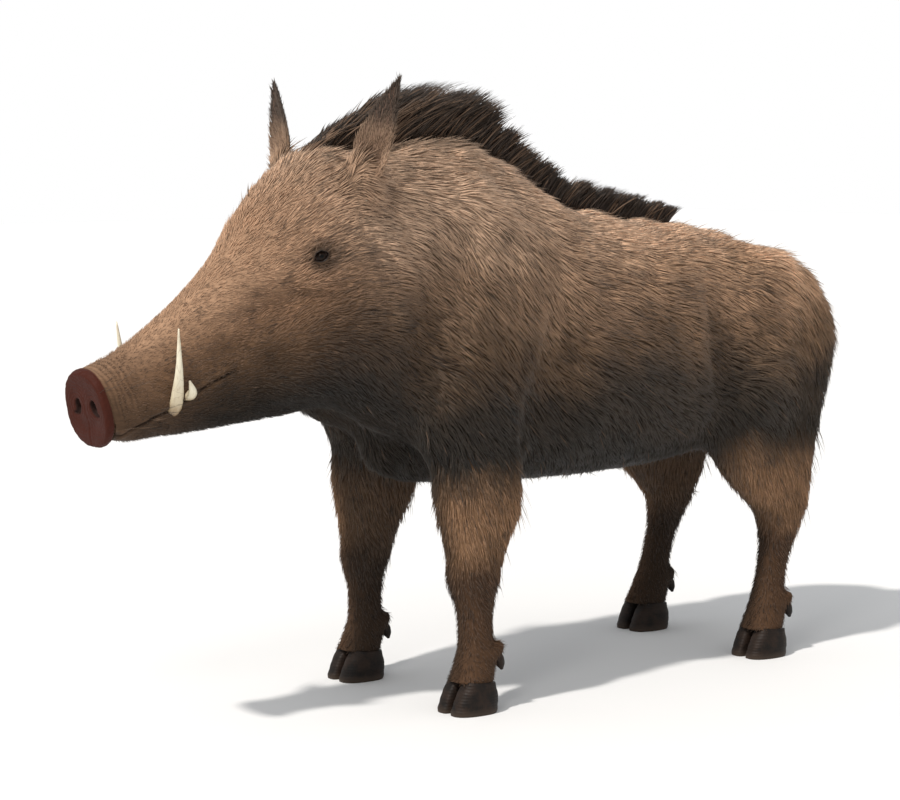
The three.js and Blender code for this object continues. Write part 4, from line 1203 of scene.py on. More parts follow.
def markings_and_shade_group():
    """The coat's colour from a place on the skin, with painted shade and painted light (darker underneath and in the
    hollows, lighter on top): one group for skin and coat, so that both carry the same markings and painted shade.
    """
    g = bpy.data.node_groups.new("MarkingsAndShade", "ShaderNodeTree")
    g.interface.new_socket("Root", in_out="INPUT", socket_type="NodeSocketVector")
    g.interface.new_socket("Color", in_out="OUTPUT", socket_type="NodeSocketColor")
    g.interface.new_socket("Dark", in_out="OUTPUT", socket_type="NodeSocketFloat")
    T = Tree(g)
    gi = T.add("NodeGroupInput")
    root = gi.outputs[0]
    sep = T.add("ShaderNodeSeparateXYZ", root)
    x = T.math("ABSOLUTE", sep.outputs[0])
    y, z = sep.outputs[1], sep.outputs[2]
    big = T.noise(root, 4.2, 3)
    mid = T.noise(root, 17.0, 3)
    fine = T.noise(T.stretch(root, 1, 0.28, 1), 70.0, 2)
    # painted light and shade: the body runs from near-black at the belly to pale along the back; partly the coat's own
    # darker underside, mostly painted shade below and painted light on top
    zz = T.math("ADD", z, T.math("MULTIPLY_ADD", big, 0.24, -0.12))
    zz = T.math("ADD", zz, T.math("MULTIPLY_ADD", mid, 0.05, -0.025))
    h = T.step(zz, 0.345, 0.84)
    body = T.ramp(h, (0.0, BELLY), (0.24, LOW), (0.5, FLANK), (0.76, HIGH), (1.0, BACK))
    # painted highlight: paler over the top of the loins and rump, as where light catches the back
    rump_highlight = T.math("MULTIPLY", T.step(T.math("ADD", y, T.math("MULTIPLY_ADD", big, 0.3, -0.15)), -0.12, 0.44), T.step(zz, 0.35, 0.57))
    pale = T.math("MULTIPLY_ADD", rump_highlight, 0.85, 1.0)
    body = T.mix(1.0, body, T.add("ShaderNodeCombineColor", pale, pale, pale).outputs[0], "MULTIPLY")
    # the head: partly its own darker jaw, mostly painted light and shade: warm and pale above, near-black along the jaw
    # and underside
    hs = T.math("ADD", T.math("MULTIPLY", T.math("SUBTRACT", y, (NOSE_Y + SHIFT_Y) / 1000), -HS), T.math("MULTIPLY", T.math("SUBTRACT", z, NOSE_Z / 1000), HC))
    hx = T.math("ADD", T.math("MULTIPLY", T.math("SUBTRACT", y, (NOSE_Y + SHIFT_Y) / 1000), HC), T.math("MULTIPLY", T.math("SUBTRACT", z, NOSE_Z / 1000), HS))
    ht = T.math("ADD", hs, T.math("MULTIPLY_ADD", mid, 0.05, -0.025))
    ht = T.math("MULTIPLY", ht, T.step(hx, 0.10, 0.42, 1.25, 0.82))
    hh = T.step(ht, -0.12, 0.13)
    headc = T.ramp(hh, (0.0, JAW), (0.3, CHEEK), (0.62, FACE), (1.0, BROW))
    muzzle = T.step(hx, 0.02, 0.19, 1.0, 0.0)
    headc = T.mix(T.math("MULTIPLY", muzzle, 0.45), headc, MUZZLE)
    at_head = T.step(T.math("ADD", hx, T.math("MULTIPLY_ADD", big, 0.1, -0.05)), 0.34, 0.50, 1.0, 0.0)
    front = T.step(y, -0.30, -0.22, 1.0, 0.0)
    col = T.mix(T.math("MULTIPLY", at_head, front), body, headc)
    # the legs
    legz = T.math("ADD", z, T.math("MULTIPLY_ADD", mid, 0.08, -0.04))
    legc = T.ramp(T.step(legz, 0.05, 0.35), (0.0, FOOT), (0.50, SHIN), (0.88, THIGH), (1.0, THIGH))
    fore = T.math("MULTIPLY", T.step(y, -0.30, -0.25), T.step(y, -0.06, 0.00, 1.0, 0.0))
    hind = T.step(y, 0.34, 0.44)
    # painted shade in the groin, where the hind thigh meets the belly
    groin_shade = T.math("MULTIPLY", T.step(y, 0.26, 0.36), T.math("MULTIPLY", T.step(x, 0.09, 0.15, 0.65, 0.0), T.step(z, 0.50, 0.58, 1.0, 0.0)))
    col = T.mix(groin_shade, col, JAW)
    at_leg = T.math("MULTIPLY", T.step(legz, 0.315, 0.415, 1.0, 0.0), T.math("MULTIPLY", T.math("MAXIMUM", fore, hind), T.step(x, 0.035, 0.09)))
    at_leg = T.math("MAXIMUM", at_leg, T.step(z, 0.27, 0.29, 1.0, 0.0))
    # painted shade on the legs' inner sides, which face each other under the body
    inside = T.step(x, 0.118, 0.168, 0.70, 0.0)
    legc = T.mix(inside, legc, JAW)
    col = T.mix(at_leg, col, legc)
    # round the eye
    ey = T.math("SUBTRACT", y, (EYE_C[1] + SHIFT_Y) / 1000)
    ez = T.math("SUBTRACT", z, EYE_C[2] / 1000)
    ex = T.math("SUBTRACT", x, EYE_C[0] / 1000)
    er = T.math("SQRT", T.math("ADD", T.math("ADD", T.math("MULTIPLY", ey, ey), T.math("MULTIPLY", T.math("MULTIPLY", ez, ez), 1.4)), T.math("MULTIPLY", ex, ex)))
    col = T.mix(T.step(er, 0.012, 0.042, 0.62, 0.0), col, DARK)
    # darker round the root of the ear
    rx = T.math("SUBTRACT", x, float(EAR_BASE[0]) / 1000)
    ry = T.math("SUBTRACT", y, (float(EAR_BASE[1]) + SHIFT_Y) / 1000)
    rz = T.math("SUBTRACT", z, float(EAR_BASE[2]) / 1000 - 0.012)
    rr = T.math("SQRT", T.math("ADD", T.math("ADD", T.math("MULTIPLY", rx, rx), T.math("MULTIPLY", ry, ry)), T.math("MULTIPLY", rz, rz)))
    col = T.mix(T.step(rr, 0.034, 0.075, 0.50, 0.0), col, FACE)
    # ears: dark upper half
    ear = T.math("MULTIPLY", T.step(y, -0.285, -0.265, 1.0, 0.0), T.step(x, 0.066, 0.08))
    col = T.mix(T.math("MULTIPLY", T.math("MULTIPLY", ear, T.step(z, 0.845, 0.875)), 0.70), col, CHEEK)
    ear = T.math("MULTIPLY", ear, T.step(T.math("ADD", z, T.math("MULTIPLY_ADD", mid, 0.05, -0.025)), 0.882, 0.928))
    col = T.mix(T.math("MULTIPLY", ear, 0.86), col, DARK)
    # tail: darkens to its tip
    tail = T.math("MULTIPLY", T.step(y, 0.715, 0.74), T.step(z, 0.56, 0.40))
    col = T.mix(T.math("MULTIPLY", tail, 0.8), col, DARK)
    # mottling
    v = T.math("ADD", T.math("MULTIPLY_ADD", fine, 0.5, 0.75), T.math("MULTIPLY_ADD", mid, 0.3, -0.15))
    mul = T.add("ShaderNodeCombineColor", v, v, v)
    col = T.mix(1.0, col, mul.outputs[0], "MULTIPLY")
    go = T.add("NodeGroupOutput")
    T.put(go.inputs[0], col)
    T.put(go.inputs[1], T.math("MAXIMUM", ear, tail))
    return g


# Ramp colours: partly the coat's own, mostly painted shade low down (BELLY, LOW, JAW, CHEEK) and painted light on top
# (HIGH, BACK, BROW); JAW also paints shade in the groin and on the legs' inner sides.
BELLY, LOW, FLANK, HIGH, BACK = (0.020, 0.015, 0.010), (0.044, 0.029, 0.018), (0.138, 0.082, 0.046), (0.300, 0.187, 0.115), (0.570, 0.388, 0.265)
JAW, CHEEK, FACE, BROW, MUZZLE = (0.018, 0.013, 0.009), (0.100, 0.056, 0.030), (0.230, 0.130, 0.073), (0.450, 0.275, 0.170), (0.105, 0.060, 0.036)
FOOT, SHIN, THIGH, DARK = (0.080, 0.042, 0.022), (0.085, 0.045, 0.024), (0.310, 0.174, 0.092), (0.026, 0.019, 0.015)


def material(name):
    m = bpy.data.materials.new(name)
    m.use_nodes = True
    T = Tree(m.node_tree)
    out = T.add("ShaderNodeOutputMaterial")
    b = T.add("ShaderNodeBsdfPrincipled")
    T.put(out.inputs[0], b.outputs[0])
    return m, T, b


def marks_and_shade(T, vec):
    n = T.t.nodes.new("ShaderNodeGroup")
    n.node_tree = MARKINGS_AND_SHADE
    T.put(n.inputs[0], vec)
    return n


def skin_material():
    m, T, b = material("skin")
    root = T.attribute("root", True)
    mk = marks_and_shade(T, root)
    pad, crease, wet, nostril, under, inner = (T.attribute(k) for k in ("pad", "crease", "wet", "nostril", "under", "inner"))
    sep = T.add("ShaderNodeSeparateXYZ", root)
    # hair streaks along the lie of the coat
    along_y = T.noise(T.stretch(root, 330, 30, 330), 1.0, 3, 0.6)
    along_z = T.noise(T.stretch(root, 330, 330, 34), 1.0, 3, 0.6)
    legs = T.step(sep.outputs[2], 0.38, 0.48, 1.0, 0.0)
    streak = T.math("ADD", T.math("MULTIPLY", along_y, T.math("SUBTRACT", 1.0, legs)), T.math("MULTIPLY", along_z, legs))
    pores = T.noise(root, 620.0, 2, 0.6)
    vor = T.add("ShaderNodeTexVoronoi")
    T.put(vor.inputs["Vector"], root)
    vor.inputs["Scale"].default_value = 300.0
    col = mk.outputs[0]
    shade = T.math("MULTIPLY_ADD", streak, 0.9, 0.42)
    # painted shade on the skin under the coat, stronger where the coat is long
    shade = T.math("MULTIPLY", shade, T.math("MULTIPLY_ADD", under, -0.45, 1.0))
    s3 = T.add("ShaderNodeCombineColor", shade, shade, shade)
    col = T.mix(1.0, col, s3.outputs[0], "MULTIPLY")
    col = T.mix(T.math("MULTIPLY", inner, 0.55), col, (0.20, 0.125, 0.095))
    # painted shade in the creases: the mouth's groove, the wrinkles, the folds round the lids and the claws' cleft
    col = T.mix(T.math("MULTIPLY", crease, 0.8, clamp=True), col, (0.020, 0.013, 0.010))
    padc = T.mix(T.noise(root, 26.0, 4, 0.6), (0.060, 0.012, 0.006), (0.036, 0.008, 0.004))
    padc = T.mix(T.step(vor.outputs[0], 0.0, 0.35, 0.35, 0.0), padc, (0.040, 0.016, 0.013))
    col = T.mix(pad, col, padc)
    col = T.mix(wet, col, (0.012, 0.009, 0.008))
    # painted shade inside the nostrils
    col = T.mix(nostril, col, (0.010, 0.006, 0.005))
    T.put(b.inputs["Base Color"], col)
    rough = T.math("MULTIPLY_ADD", streak, 0.2, 0.62)
    rough = T.math("ADD", rough, T.math("MULTIPLY", pad, -0.10))
    rough = T.math("SUBTRACT", rough, T.math("MULTIPLY", wet, 0.5))
    T.put(b.inputs["Roughness"], T.math("MAXIMUM", rough, 0.16))
    b.inputs["Specular IOR Level"].default_value = 0.12
    n1 = T.bump(streak, 0.55, 0.0016)
    n2 = T.bump(T.math("ADD", T.math("MULTIPLY", vor.outputs[0], pad), T.math("MULTIPLY", pores, 0.35)), 0.45, 0.0006, n1)
    T.put(b.inputs["Normal"], n2)
    return m


def coat_material(name, dark=0.0, tipped=0.18, sheen=0.05):
    m, T, b = material(name)
    root = T.attribute("root", True)
    t = T.attribute("tuft_t")
    r = T.attribute("tuft_r")
    mk = marks_and_shade(T, root)
    col = mk.outputs[0]
    # darker roots, paler tips, and tufts that differ
    k = T.math("MULTIPLY", T.step(t, 0.0, 0.5, 0.78, 1.0), T.math("MULTIPLY_ADD", r, 0.50, 0.80))
    k = T.math("ADD", k, T.math("MULTIPLY", T.step(t, 0.55, 1.0), tipped))
    # a few dark bristles among the pale ones
    few = T.step(r, 0.08, 0.13, 0.55, 0.0)
    k = T.math("MULTIPLY", k, T.math("SUBTRACT", 1.0, few))
    along = T.noise(T.stretch(root, 420, 420, 420), 1.0, 1)
    k = T.math("MULTIPLY", k, T.math("MULTIPLY_ADD", along, 0.4, 0.8))
    c3 = T.add("ShaderNodeCombineColor", k, k, k)
    col = T.mix(1.0, col, c3.outputs[0], "MULTIPLY")
    if dark:
        band = T.step(r, 0.62, 0.82)
        dk = T.mix(band, (0.044, 0.029, 0.020), (0.165, 0.102, 0.064))
        dk = T.mix(T.math("MULTIPLY", T.step(t, 0.7, 1.0), 0.5), dk, (0.030, 0.021, 0.016))
        col = T.mix(dark, col, dk)
    T.put(b.inputs["Base Color"], col)
    T.put(b.inputs["Roughness"], T.math("MULTIPLY_ADD", r, 0.18, 0.52))
    b.inputs["Specular IOR Level"].default_value = 0.30
    b.inputs["Sheen Weight"].default_value = sheen
    b.inputs["Sheen Roughness"].default_value = 0.5
    grain = T.noise(T.stretch(T.add("ShaderNodeNewGeometry").outputs[0], 900, 300, 900), 1.0, 1)
    T.put(b.inputs["Normal"], T.bump(grain, 0.25, 0.0004))
    return m


def ivory_material():
    m, T, b = material("ivory")
    co = T.add("ShaderNodeNewGeometry").outputs[0]
    u = T.attribute("along")
    grain = T.noise(T.stretch(co, 260, 260, 40), 1.0, 4, 0.6)
    stain = T.noise(co, 60.0, 4, 0.65)
    col = T.ramp(T.math("ADD", u, T.math("MULTIPLY_ADD", stain, 0.3, -0.15)), (0.0, (0.16, 0.095, 0.045)), (0.16, (0.36, 0.26, 0.145)), (0.42, (0.66, 0.57, 0.40)), (0.8, (0.78, 0.72, 0.56)), (1.0, (0.70, 0.62, 0.47)))
    col = T.mix(T.step(grain, 0.56, 0.72, 0.0, 0.4), col, (0.34, 0.24, 0.13))
    crack = T.add("ShaderNodeTexVoronoi", feature="DISTANCE_TO_EDGE")
    T.put(crack.inputs["Vector"], T.stretch(co, 130, 130, 22))
    crack.inputs["Scale"].default_value = 1.0
    col = T.mix(T.step(crack.outputs[0], 0.0, 0.035, 0.35, 0.0), col, (0.20, 0.13, 0.07))
    T.put(b.inputs["Base Color"], col)
    T.put(b.inputs["Roughness"], T.math("MULTIPLY_ADD", grain, 0.25, 0.20))
    b.inputs["Specular IOR Level"].default_value = 0.5
    b.inputs["Coat Weight"].default_value = 0.15
    b.inputs["Coat Roughness"].default_value = 0.2
    T.put(b.inputs["Normal"], T.bump(T.math("ADD", grain, T.math("MULTIPLY", crack.outputs[0], 0.4)), 0.25, 0.0006))
    return m


def hoof_material():
    m, T, b = material("hoof")
    co = T.add("ShaderNodeNewGeometry").outputs[0]
    sep = T.add("ShaderNodeSeparateXYZ", co)
    z = sep.outputs[2]
    rings = T.math("SINE", T.math("MULTIPLY", T.math("ADD", z, T.math("MULTIPLY", T.noise(co, 24.0, 2), 0.006)), 1350.0))
    grain = T.noise(T.stretch(co, 420, 420, 50), 1.0, 4, 0.6)
    blot = T.noise(co, 45.0, 4, 0.6)
    col = T.mix(T.step(blot, 0.35, 0.65), (0.007, 0.005, 0.004), (0.021, 0.012, 0.008))
    col = T.mix(T.step(z, 0.0, 0.014, 0.75, 0.0), col, (0.055, 0.038, 0.027))
    col = T.mix(T.step(grain, 0.52, 0.75, 0.0, 0.4), col, (0.040, 0.026, 0.018))
    T.put(b.inputs["Base Color"], col)
    T.put(b.inputs["Roughness"], T.math("MULTIPLY_ADD", grain, 0.35, 0.36))
    b.inputs["Specular IOR Level"].default_value = 0.18
    h = T.math("ADD", T.math("MULTIPLY", rings, 0.35), grain)
    T.put(b.inputs["Normal"], T.bump(h, 0.4, 0.0008))
    return m


def eye_material():
    m, T, b = material("eyeball")
    f = T.attribute("front")  # angle from the eye's own axis, in radians
    up = T.attribute("upward")
    co = T.add("ShaderNodeNewGeometry").outputs[0]
    fib = T.noise(T.stretch(co, 900, 900, 900), 1.0, 3)
    iris = T.mix(fib, (0.006, 0.003, 0.002), (0.017, 0.008, 0.004))
    iris = T.mix(T.step(f, 0.46, 0.60), iris, (0.007, 0.004, 0.003))
    pup = T.math("ADD", f, T.math("MULTIPLY", T.math("ABSOLUTE", up), 0.22))
    col = T.mix(T.step(pup, 0.24, 0.29, 1.0, 0.0), iris, (0.003, 0.003, 0.003))
    veins = T.noise(T.stretch(co, 500, 500, 500), 1.0, 3)
    white = T.mix(veins, (0.018, 0.011, 0.009), (0.045, 0.026, 0.020))
    col = T.mix(T.step(f, 0.66, 0.78), col, white)
    T.put(b.inputs["Base Color"], col)
    T.put(b.inputs["Roughness"], T.math("MULTIPLY_ADD", fib, 0.04, 0.03))
    b.inputs["Specular IOR Level"].default_value = 0.05
    b.inputs["Coat Weight"].default_value = 0.14
    b.inputs["Coat Roughness"].default_value = 0.02
    T.put(b.inputs["Normal"], T.bump(fib, 0.02, 0.0002))
    return m


MARKINGS_AND_SHADE = markings_and_shade_group()
M_SKIN, M_COAT, M_MANE, M_BRISTLE = skin_material(), coat_material("coat"), coat_material("mane", 1.0, 0.2), coat_material("bristle", 0.72, 0.3)
M_IVORY, M_HOOF, M_EYE = ivory_material(), hoof_material(), eye_material()


# ------------------------------------------------------------------ the skin
V0, Q0, T0, MASK = build_skin()
ear = ear_arrays(34, 44)
tail = tail_arrays()
EV, EQ, ET = ear
ear_r = mirror(EV, EQ, ET)
SV, SQ, ST = join_parts([(V0, Q0, T0), ear, ear_r, tail])
n0, ne, nt = len(V0), len(EV), len(tail[0])
part = np.concatenate([np.zeros(n0), np.ones(2 * ne), 2 * np.ones(nt)])  # body, ears, tail


def padded(v):
    return np.concatenate([v, np.zeros(2 * ne + nt)])


MASK = {k: padded(v) for k, v in MASK.items()}
SN, STRI = normals_of(SV, SQ, ST)
up_e = unit(EAR_TIP - EAR_BASE)
face_e = unit(EAR_FACE - up_e * (EAR_FACE @ up_e))
half = SV * np.where(SV[:, :1] < 0, np.array([-1.0, 1, 1]), 1.0)
half_n = SN * np.where(SV[:, :1] < 0, np.array([-1.0, 1, 1]), 1.0)
ear_h = np.where(part == 1, (half - EAR_BASE) @ up_e, 0)
inner = np.where(part == 1, smooth01(half_n @ face_e, 0.1, 0.6) * smooth01(ear_h, 4, 30), 0)
# painted shade: the skin is darker under a longer coat, where the coat shades it
under = np.interp(coat_length(SV, SN), [8, 16, 34], [0.0, 0.45, 1.0]) * (part == 0)
skin = to_mesh("skin", SV, SQ, ST)
attr(skin, "root", (SV + np.array([0, SHIFT_Y, 0])) / 1000, "FLOAT_VECTOR")
for k, v in MASK.items():
    attr(skin, k, v)
attr(skin, "under", under)
attr(skin, "inner", inner)
FLESH = ["head", "lower_jaw", "nose_pad", "neck", "trunk", "tail", "ear_left", "ear_right"]
FLESH += [f"{a}leg_{b}_{c}" for a in ("fore", "hind") for b in ("left", "right") for c in ("upper", "lower")]
done(skin, M_SKIN, FLESH)
print("SKIN", len(SV), len(STRI))


# ------------------------------------------------------------------ eyes, tusks, hooves, dewclaws
def make_eye(name, sg, node):
    rows, cols = 40, 48
    th = np.concatenate([np.linspace(0, 0.9, 22), np.linspace(0.96, math.pi, rows - 21)])[1:-1]
    rad = EYE_R - 0.15 + 0.55 * np.exp(-((th / 0.52) ** 4))
    ph = np.linspace(0, 2 * math.pi, cols, endpoint=False)
    R = [
        EYE_C + r * (math.cos(a) * EYE_N + math.sin(a) * (np.outer(np.cos(ph), EYE_A) + np.outer(np.sin(ph), EYE_B)))
        for a, r in zip(th, rad)
    ]
    V, Q, T = loft(R)
    d = V - EYE_C
    ang = np.arccos(np.clip(unit(d) @ EYE_N, -1, 1))
    upw = (d @ EYE_B) / EYE_R
    if sg < 0:
        V, Q, T = mirror(V, Q, T)
    ob = to_mesh(name, V, Q, T)
    attr(ob, "front", ang)
    attr(ob, "upward", upw)
    return done(ob, M_EYE, [node])


make_eye("eyeball_left", 1, "eye_left")
make_eye("eyeball_right", -1, "eye_right")

LOWER_TUSK = ([[42, 98, -50], [55, 101, -38], [69, 106, -12], [80, 113, 20], [87, 127, 72]], [10.5, 10.5, 10.2, 8.8, 6.6, 4, 1.2])
UPPER_TUSK = ([[42, 126, -36], [56, 127, -35], [68, 127, -27], [73, 125, -10]], [10, 10, 9, 7.5, 5, 1.5])


def make_tusk(name, spec, sg, node, rows=34, sides=22):
    pts, radii = spec
    t = np.linspace(0, 1, rows)
    P = spline([from_head(*p) for p in pts], t)
    rad = np.interp(t, np.linspace(0, 1, len(radii)), radii)
    rad = np.convolve(np.pad(rad, 2, mode="edge"), np.ones(5) / 5, "valid") * np.where(t > 0.97, 0.75, 1.0) - 0.25
    axis = np.array([0, HC, HS])
    a = np.linspace(0, 2 * math.pi, sides, endpoint=False)
    R = []
    for i in range(rows):
        d = unit(P[min(i + 1, rows - 1)] - P[max(i - 1, 0)])
        e = unit(axis - d * (axis @ d))
        f = np.cross(d, e)
        # a rounded three-sided section, flattest behind where it wears against the other tusk
        shape = 1 - 0.10 * np.cos(3 * a) * (1 - 0.4 * t[i])
        ridge = 1 + 0.012 * math.sin(t[i] * 46)
        r = rad[i] * shape * ridge
        R.append(P[i] + np.outer(np.cos(a) * r, e) + np.outer(np.sin(a) * r * 0.84, f))
    V, Q, T = loft(R)
    along = np.concatenate([np.repeat(t, sides), [0, 1]])
    if sg < 0:
        V, Q, T = mirror(V, Q, T)
    ob = to_mesh(name, V, Q, T)
    attr(ob, "along", along)
    return done(ob, M_IVORY, [node])


for side, sg in (("left", 1), ("right", -1)):
    make_tusk(f"tusk_low_{side}", LOWER_TUSK, sg, f"tusk_lower_{side}")
    make_tusk(f"tusk_up_{side}", UPPER_TUSK, sg, f"tusk_upper_{side}")

HOOF = dict(width=40.0, length=80.0, height=52.0, cleft=5.0, splay=4.0)
CLAW = [[0, -0.56, 0.42, 0.98], [7, -0.555, 0.44, 1.0], [30, -0.43, 0.45, 0.98], [52, -0.26, 0.38, 0.86]]


def claw_arrays(rows=18, sides=44):
    c = np.array(CLAW)
    L, w = HOOF["length"], HOOF["width"]
    zs = np.concatenate([[0.0, 0.0, 0.8], np.linspace(2.2, 52, rows - 3)])
    inset = np.array([0.90, 0.985, 0.995] + [1.0] * (rows - 3))
    a = np.linspace(0, 2 * math.pi, sides, endpoint=False)
    R = []
    for z, k in zip(zs, inset):
        toe, heel, share = (np.interp(z, c[:, 0], c[:, j]) for j in (1, 2, 3))
        toe, heel = toe * L, heel * L
        mid = (toe + heel) / 2 + 4
        front, back = mid - toe, heel - mid
        s, co = np.sin(a), np.cos(a)
        al = np.where(s < 0, -front * np.abs(s) ** 0.9, back * np.abs(s) ** 0.8)
        ac = np.where(co > 0, w * 0.62 * share * np.abs(co) ** 0.8, -w * 0.36 * np.abs(co) ** 0.45 * np.minimum(1, 1.15 - 0.25 * np.abs(s)))
        ring = 1 + 0.010 * math.sin(z * 1.35) * (z > 4)
        al, ac = al * k * ring, ac * k * ring
        ztop = np.full(sides, z) - (al + front) * 0.09 * (z / 52)
        R.append(np.stack([ac + w * 0.37, mid + al, np.maximum(ztop, 0.0)], 1))
    return loft(R)


def place(V, turn, at, mx=1):
    V = V * np.array([mx, 1, 1])
    c, s = math.cos(math.radians(turn)), math.sin(math.radians(turn))
    return np.stack([V[:, 0] * c - V[:, 1] * s, V[:, 0] * s + V[:, 1] * c, V[:, 2]], 1) + np.array(at)


FEET = {"fore": dict(x=148, y=-3, back=40), "hind": dict(x=147, y=649, back=696)}
CV, CQ, CT = claw_arrays()
DEW = [[0, 7.5], [-9, 9.5], [-20, 8], [-29, 2.5]]


def dew_arrays(rows=16, sides=24):
    d = np.array(DEW, float)
    t = np.linspace(0, 3, rows)
    z, r = np.interp(t, range(4), d[:, 0]), np.interp(t, range(4), d[:, 1])
    r = np.convolve(np.pad(r, 1, mode="edge"), np.ones(3) / 3, "valid")
    a = np.linspace(0, 2 * math.pi, sides, endpoint=False)
    R = [np.stack([np.cos(a) * rr * 0.85, np.sin(a) * rr + tt * 1.2, np.full(sides, zz)], 1) for zz, rr, tt in zip(z, r, t)]
    return loft(R)


DV, DQ, DT = dew_arrays()
for part_, f in FEET.items():
    for side, sg in (("left", 1), ("right", -1)):
        for which, mx in (("outer", 1), ("inner", -1)):
            V = place(CV, -HOOF["splay"] * mx, (f["x"] + mx * HOOF["cleft"] / 2, f["y"], 0), mx)
            Q, T = (CQ, CT) if mx > 0 else (CQ[:, ::-1], CT[:, ::-1])
            if sg < 0:
                V, Q, T = mirror(V, Q, T)
            node = f"hoof_{part_}_{side}_{which}"
            ob = to_mesh(node.replace("hoof", "claw"), V, Q, T)
            done(ob, M_HOOF, [node])
            lo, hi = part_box(node)
            b0 = np.array([v.co for v in ob.data.vertices])
            if side == "left":
                print("HOOF", node, np.round((np.array(lo) - b0.min(0)) * 1000, 1), np.round((np.array(hi) - b0.max(0)) * 1000, 1))
            # dewclaw: fitted to its own node's box
            node = f"dewclaw_{part_}_{side}_{which}"
            lo, hi = (np.array(q) * 1000 - np.array([0, SHIFT_Y, 0]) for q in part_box(node))
            c = (lo + hi) / 2
            tx = math.radians(16)
            W_ = DV.copy()
            W_ = np.stack([W_[:, 0], W_[:, 1] * math.cos(tx) - W_[:, 2] * math.sin(tx), W_[:, 1] * math.sin(tx) + W_[:, 2] * math.cos(tx)], 1)
            W_ = place(W_, 12 * mx * sg, (0, 0, 0))
            w0, w1 = W_.min(0), W_.max(0)
            W_ = (W_ - (w0 + w1) / 2) * np.minimum((hi - lo) / (w1 - w0), 1.25) * 0.985 + c
            ob = to_mesh(node.replace("dewclaw", "spur"), W_, DQ, DT)
            done(ob, M_HOOF, [node])

# ------------------------------------------------------------------ the coat
bare = np.clip(MASK["pad"] * 2 + MASK["nostril"] + MASK["wet"] * 1.6 + (MASK["crease"] > 0.75), 0, 1)
tri_part = part[STRI[:, 0]]
cen = SV[STRI].mean(1)
cen_n = unit(SN[STRI].mean(1))
s_c, t_c = to_head(cen[:, 1], cen[:, 2])
Lc = coat_length(cen, cen_n)
Wc = np.interp(Lc, [4, 10, 20, 40, 55], [0.85, 1.15, 1.5, 1.95, 2.3])
dens = np.clip(1.86 / (0.6 * Lc * Wc), 0, 0.076)  # tufts for each square mm
dens = dens * np.where((cen[:, 2] < 350) & (cen[:, 1] > -150), 0.62, 1.0)
a_, b_, c_ = SV[STRI[:, 0]], SV[STRI[:, 1]], SV[STRI[:, 2]]
area = np.linalg.norm(np.cross(b_ - a_, c_ - a_), axis=1) * 0.5
ok = (1 - bare[STRI].max(1)) * (tri_part == 0)
ok = ok * ((s_c > 19) | (cen[:, 1] > -100)) * (cen[:, 2] > 50)
# nothing grows inside the ears' or the tail's roots
want = (area * dens * ok).sum()
n_all = int(want * COAT)
print("COAT wanted", round(want), "area m2", round((area * (tri_part == 0)).sum() / 1e6, 3))
R, N = scatter(SV, STRI, SN, dens * ok, n_all, 11)
s_r, t_r = to_head(R[:, 1], R[:, 2])
is_head = (R[:, 1] < -150) & (s_r < 415)
is_leg = (R[:, 2] < 350) & (R[:, 1] > -150)
is_body = ~is_head & ~is_leg
left = R[:, 0] >= 0


def body_piece(name, pick, seed, lo, hi):
    tuft_piece(name, M_COAT, [coat_set(R[pick], N[pick], FINE_RINGS, seed)], chart("body", lo, hi))


for side, m in (("left", left), ("right", ~left)):
    e = 0 if side == "left" else 50
    body_piece(f"coat_neck_{side}", is_body & m & (R[:, 1] < 20), 100 + e, -420, 20)
    body_piece(f"coat_shoulder_{side}", is_body & m & (R[:, 1] >= 20) & (R[:, 1] < 290), 110 + e, 20, 290)
    body_piece(f"coat_flank_{side}", is_body & m & (R[:, 1] >= 290) & (R[:, 1] < 585), 120 + e, 290, 585)
    body_piece(f"coat_rump_{side}", is_body & m & (R[:, 1] >= 585), 130 + e, 585, 900)
    tuft_piece(f"coat_head_{side}", M_COAT, [coat_set(R[is_head & m], N[is_head & m], FINE_RINGS, 140 + e, lift=(15, 4), tip=(5, 5))], chart("head", 15, 430))
for name, pick in (("coat_forelegs", is_leg & (R[:, 1] < 330)), ("coat_hindlegs", is_leg & (R[:, 1] >= 330))):
    tuft_piece(name, M_COAT, [coat_set(R[pick], N[pick], FINE_RINGS, 171, lift=(15, 5), tip=(5, 6))], chart("leg", 48, 352))

# ears: short inside, longer along the rims
is_ear = tri_part == 1
half_c = cen * np.where(cen[:, :1] < 0, np.array([-1.0, 1, 1]), 1.0)
hn_c = cen_n * np.where(cen[:, :1] < 0, np.array([-1.0, 1, 1]), 1.0)
eh = (half_c - EAR_BASE) @ up_e
front_face = smooth01(hn_c @ face_e, 0.2, 0.7)
clear_of_body = skin_d(cen[:, 0], cen[:, 1], cen[:, 2]) > 1.5
w_ear = is_ear * clear_of_body * (1 - 0.45 * front_face)
RE, NE = scatter(SV, STRI, SN, w_ear.astype(float), int(5600 * COAT), 31)


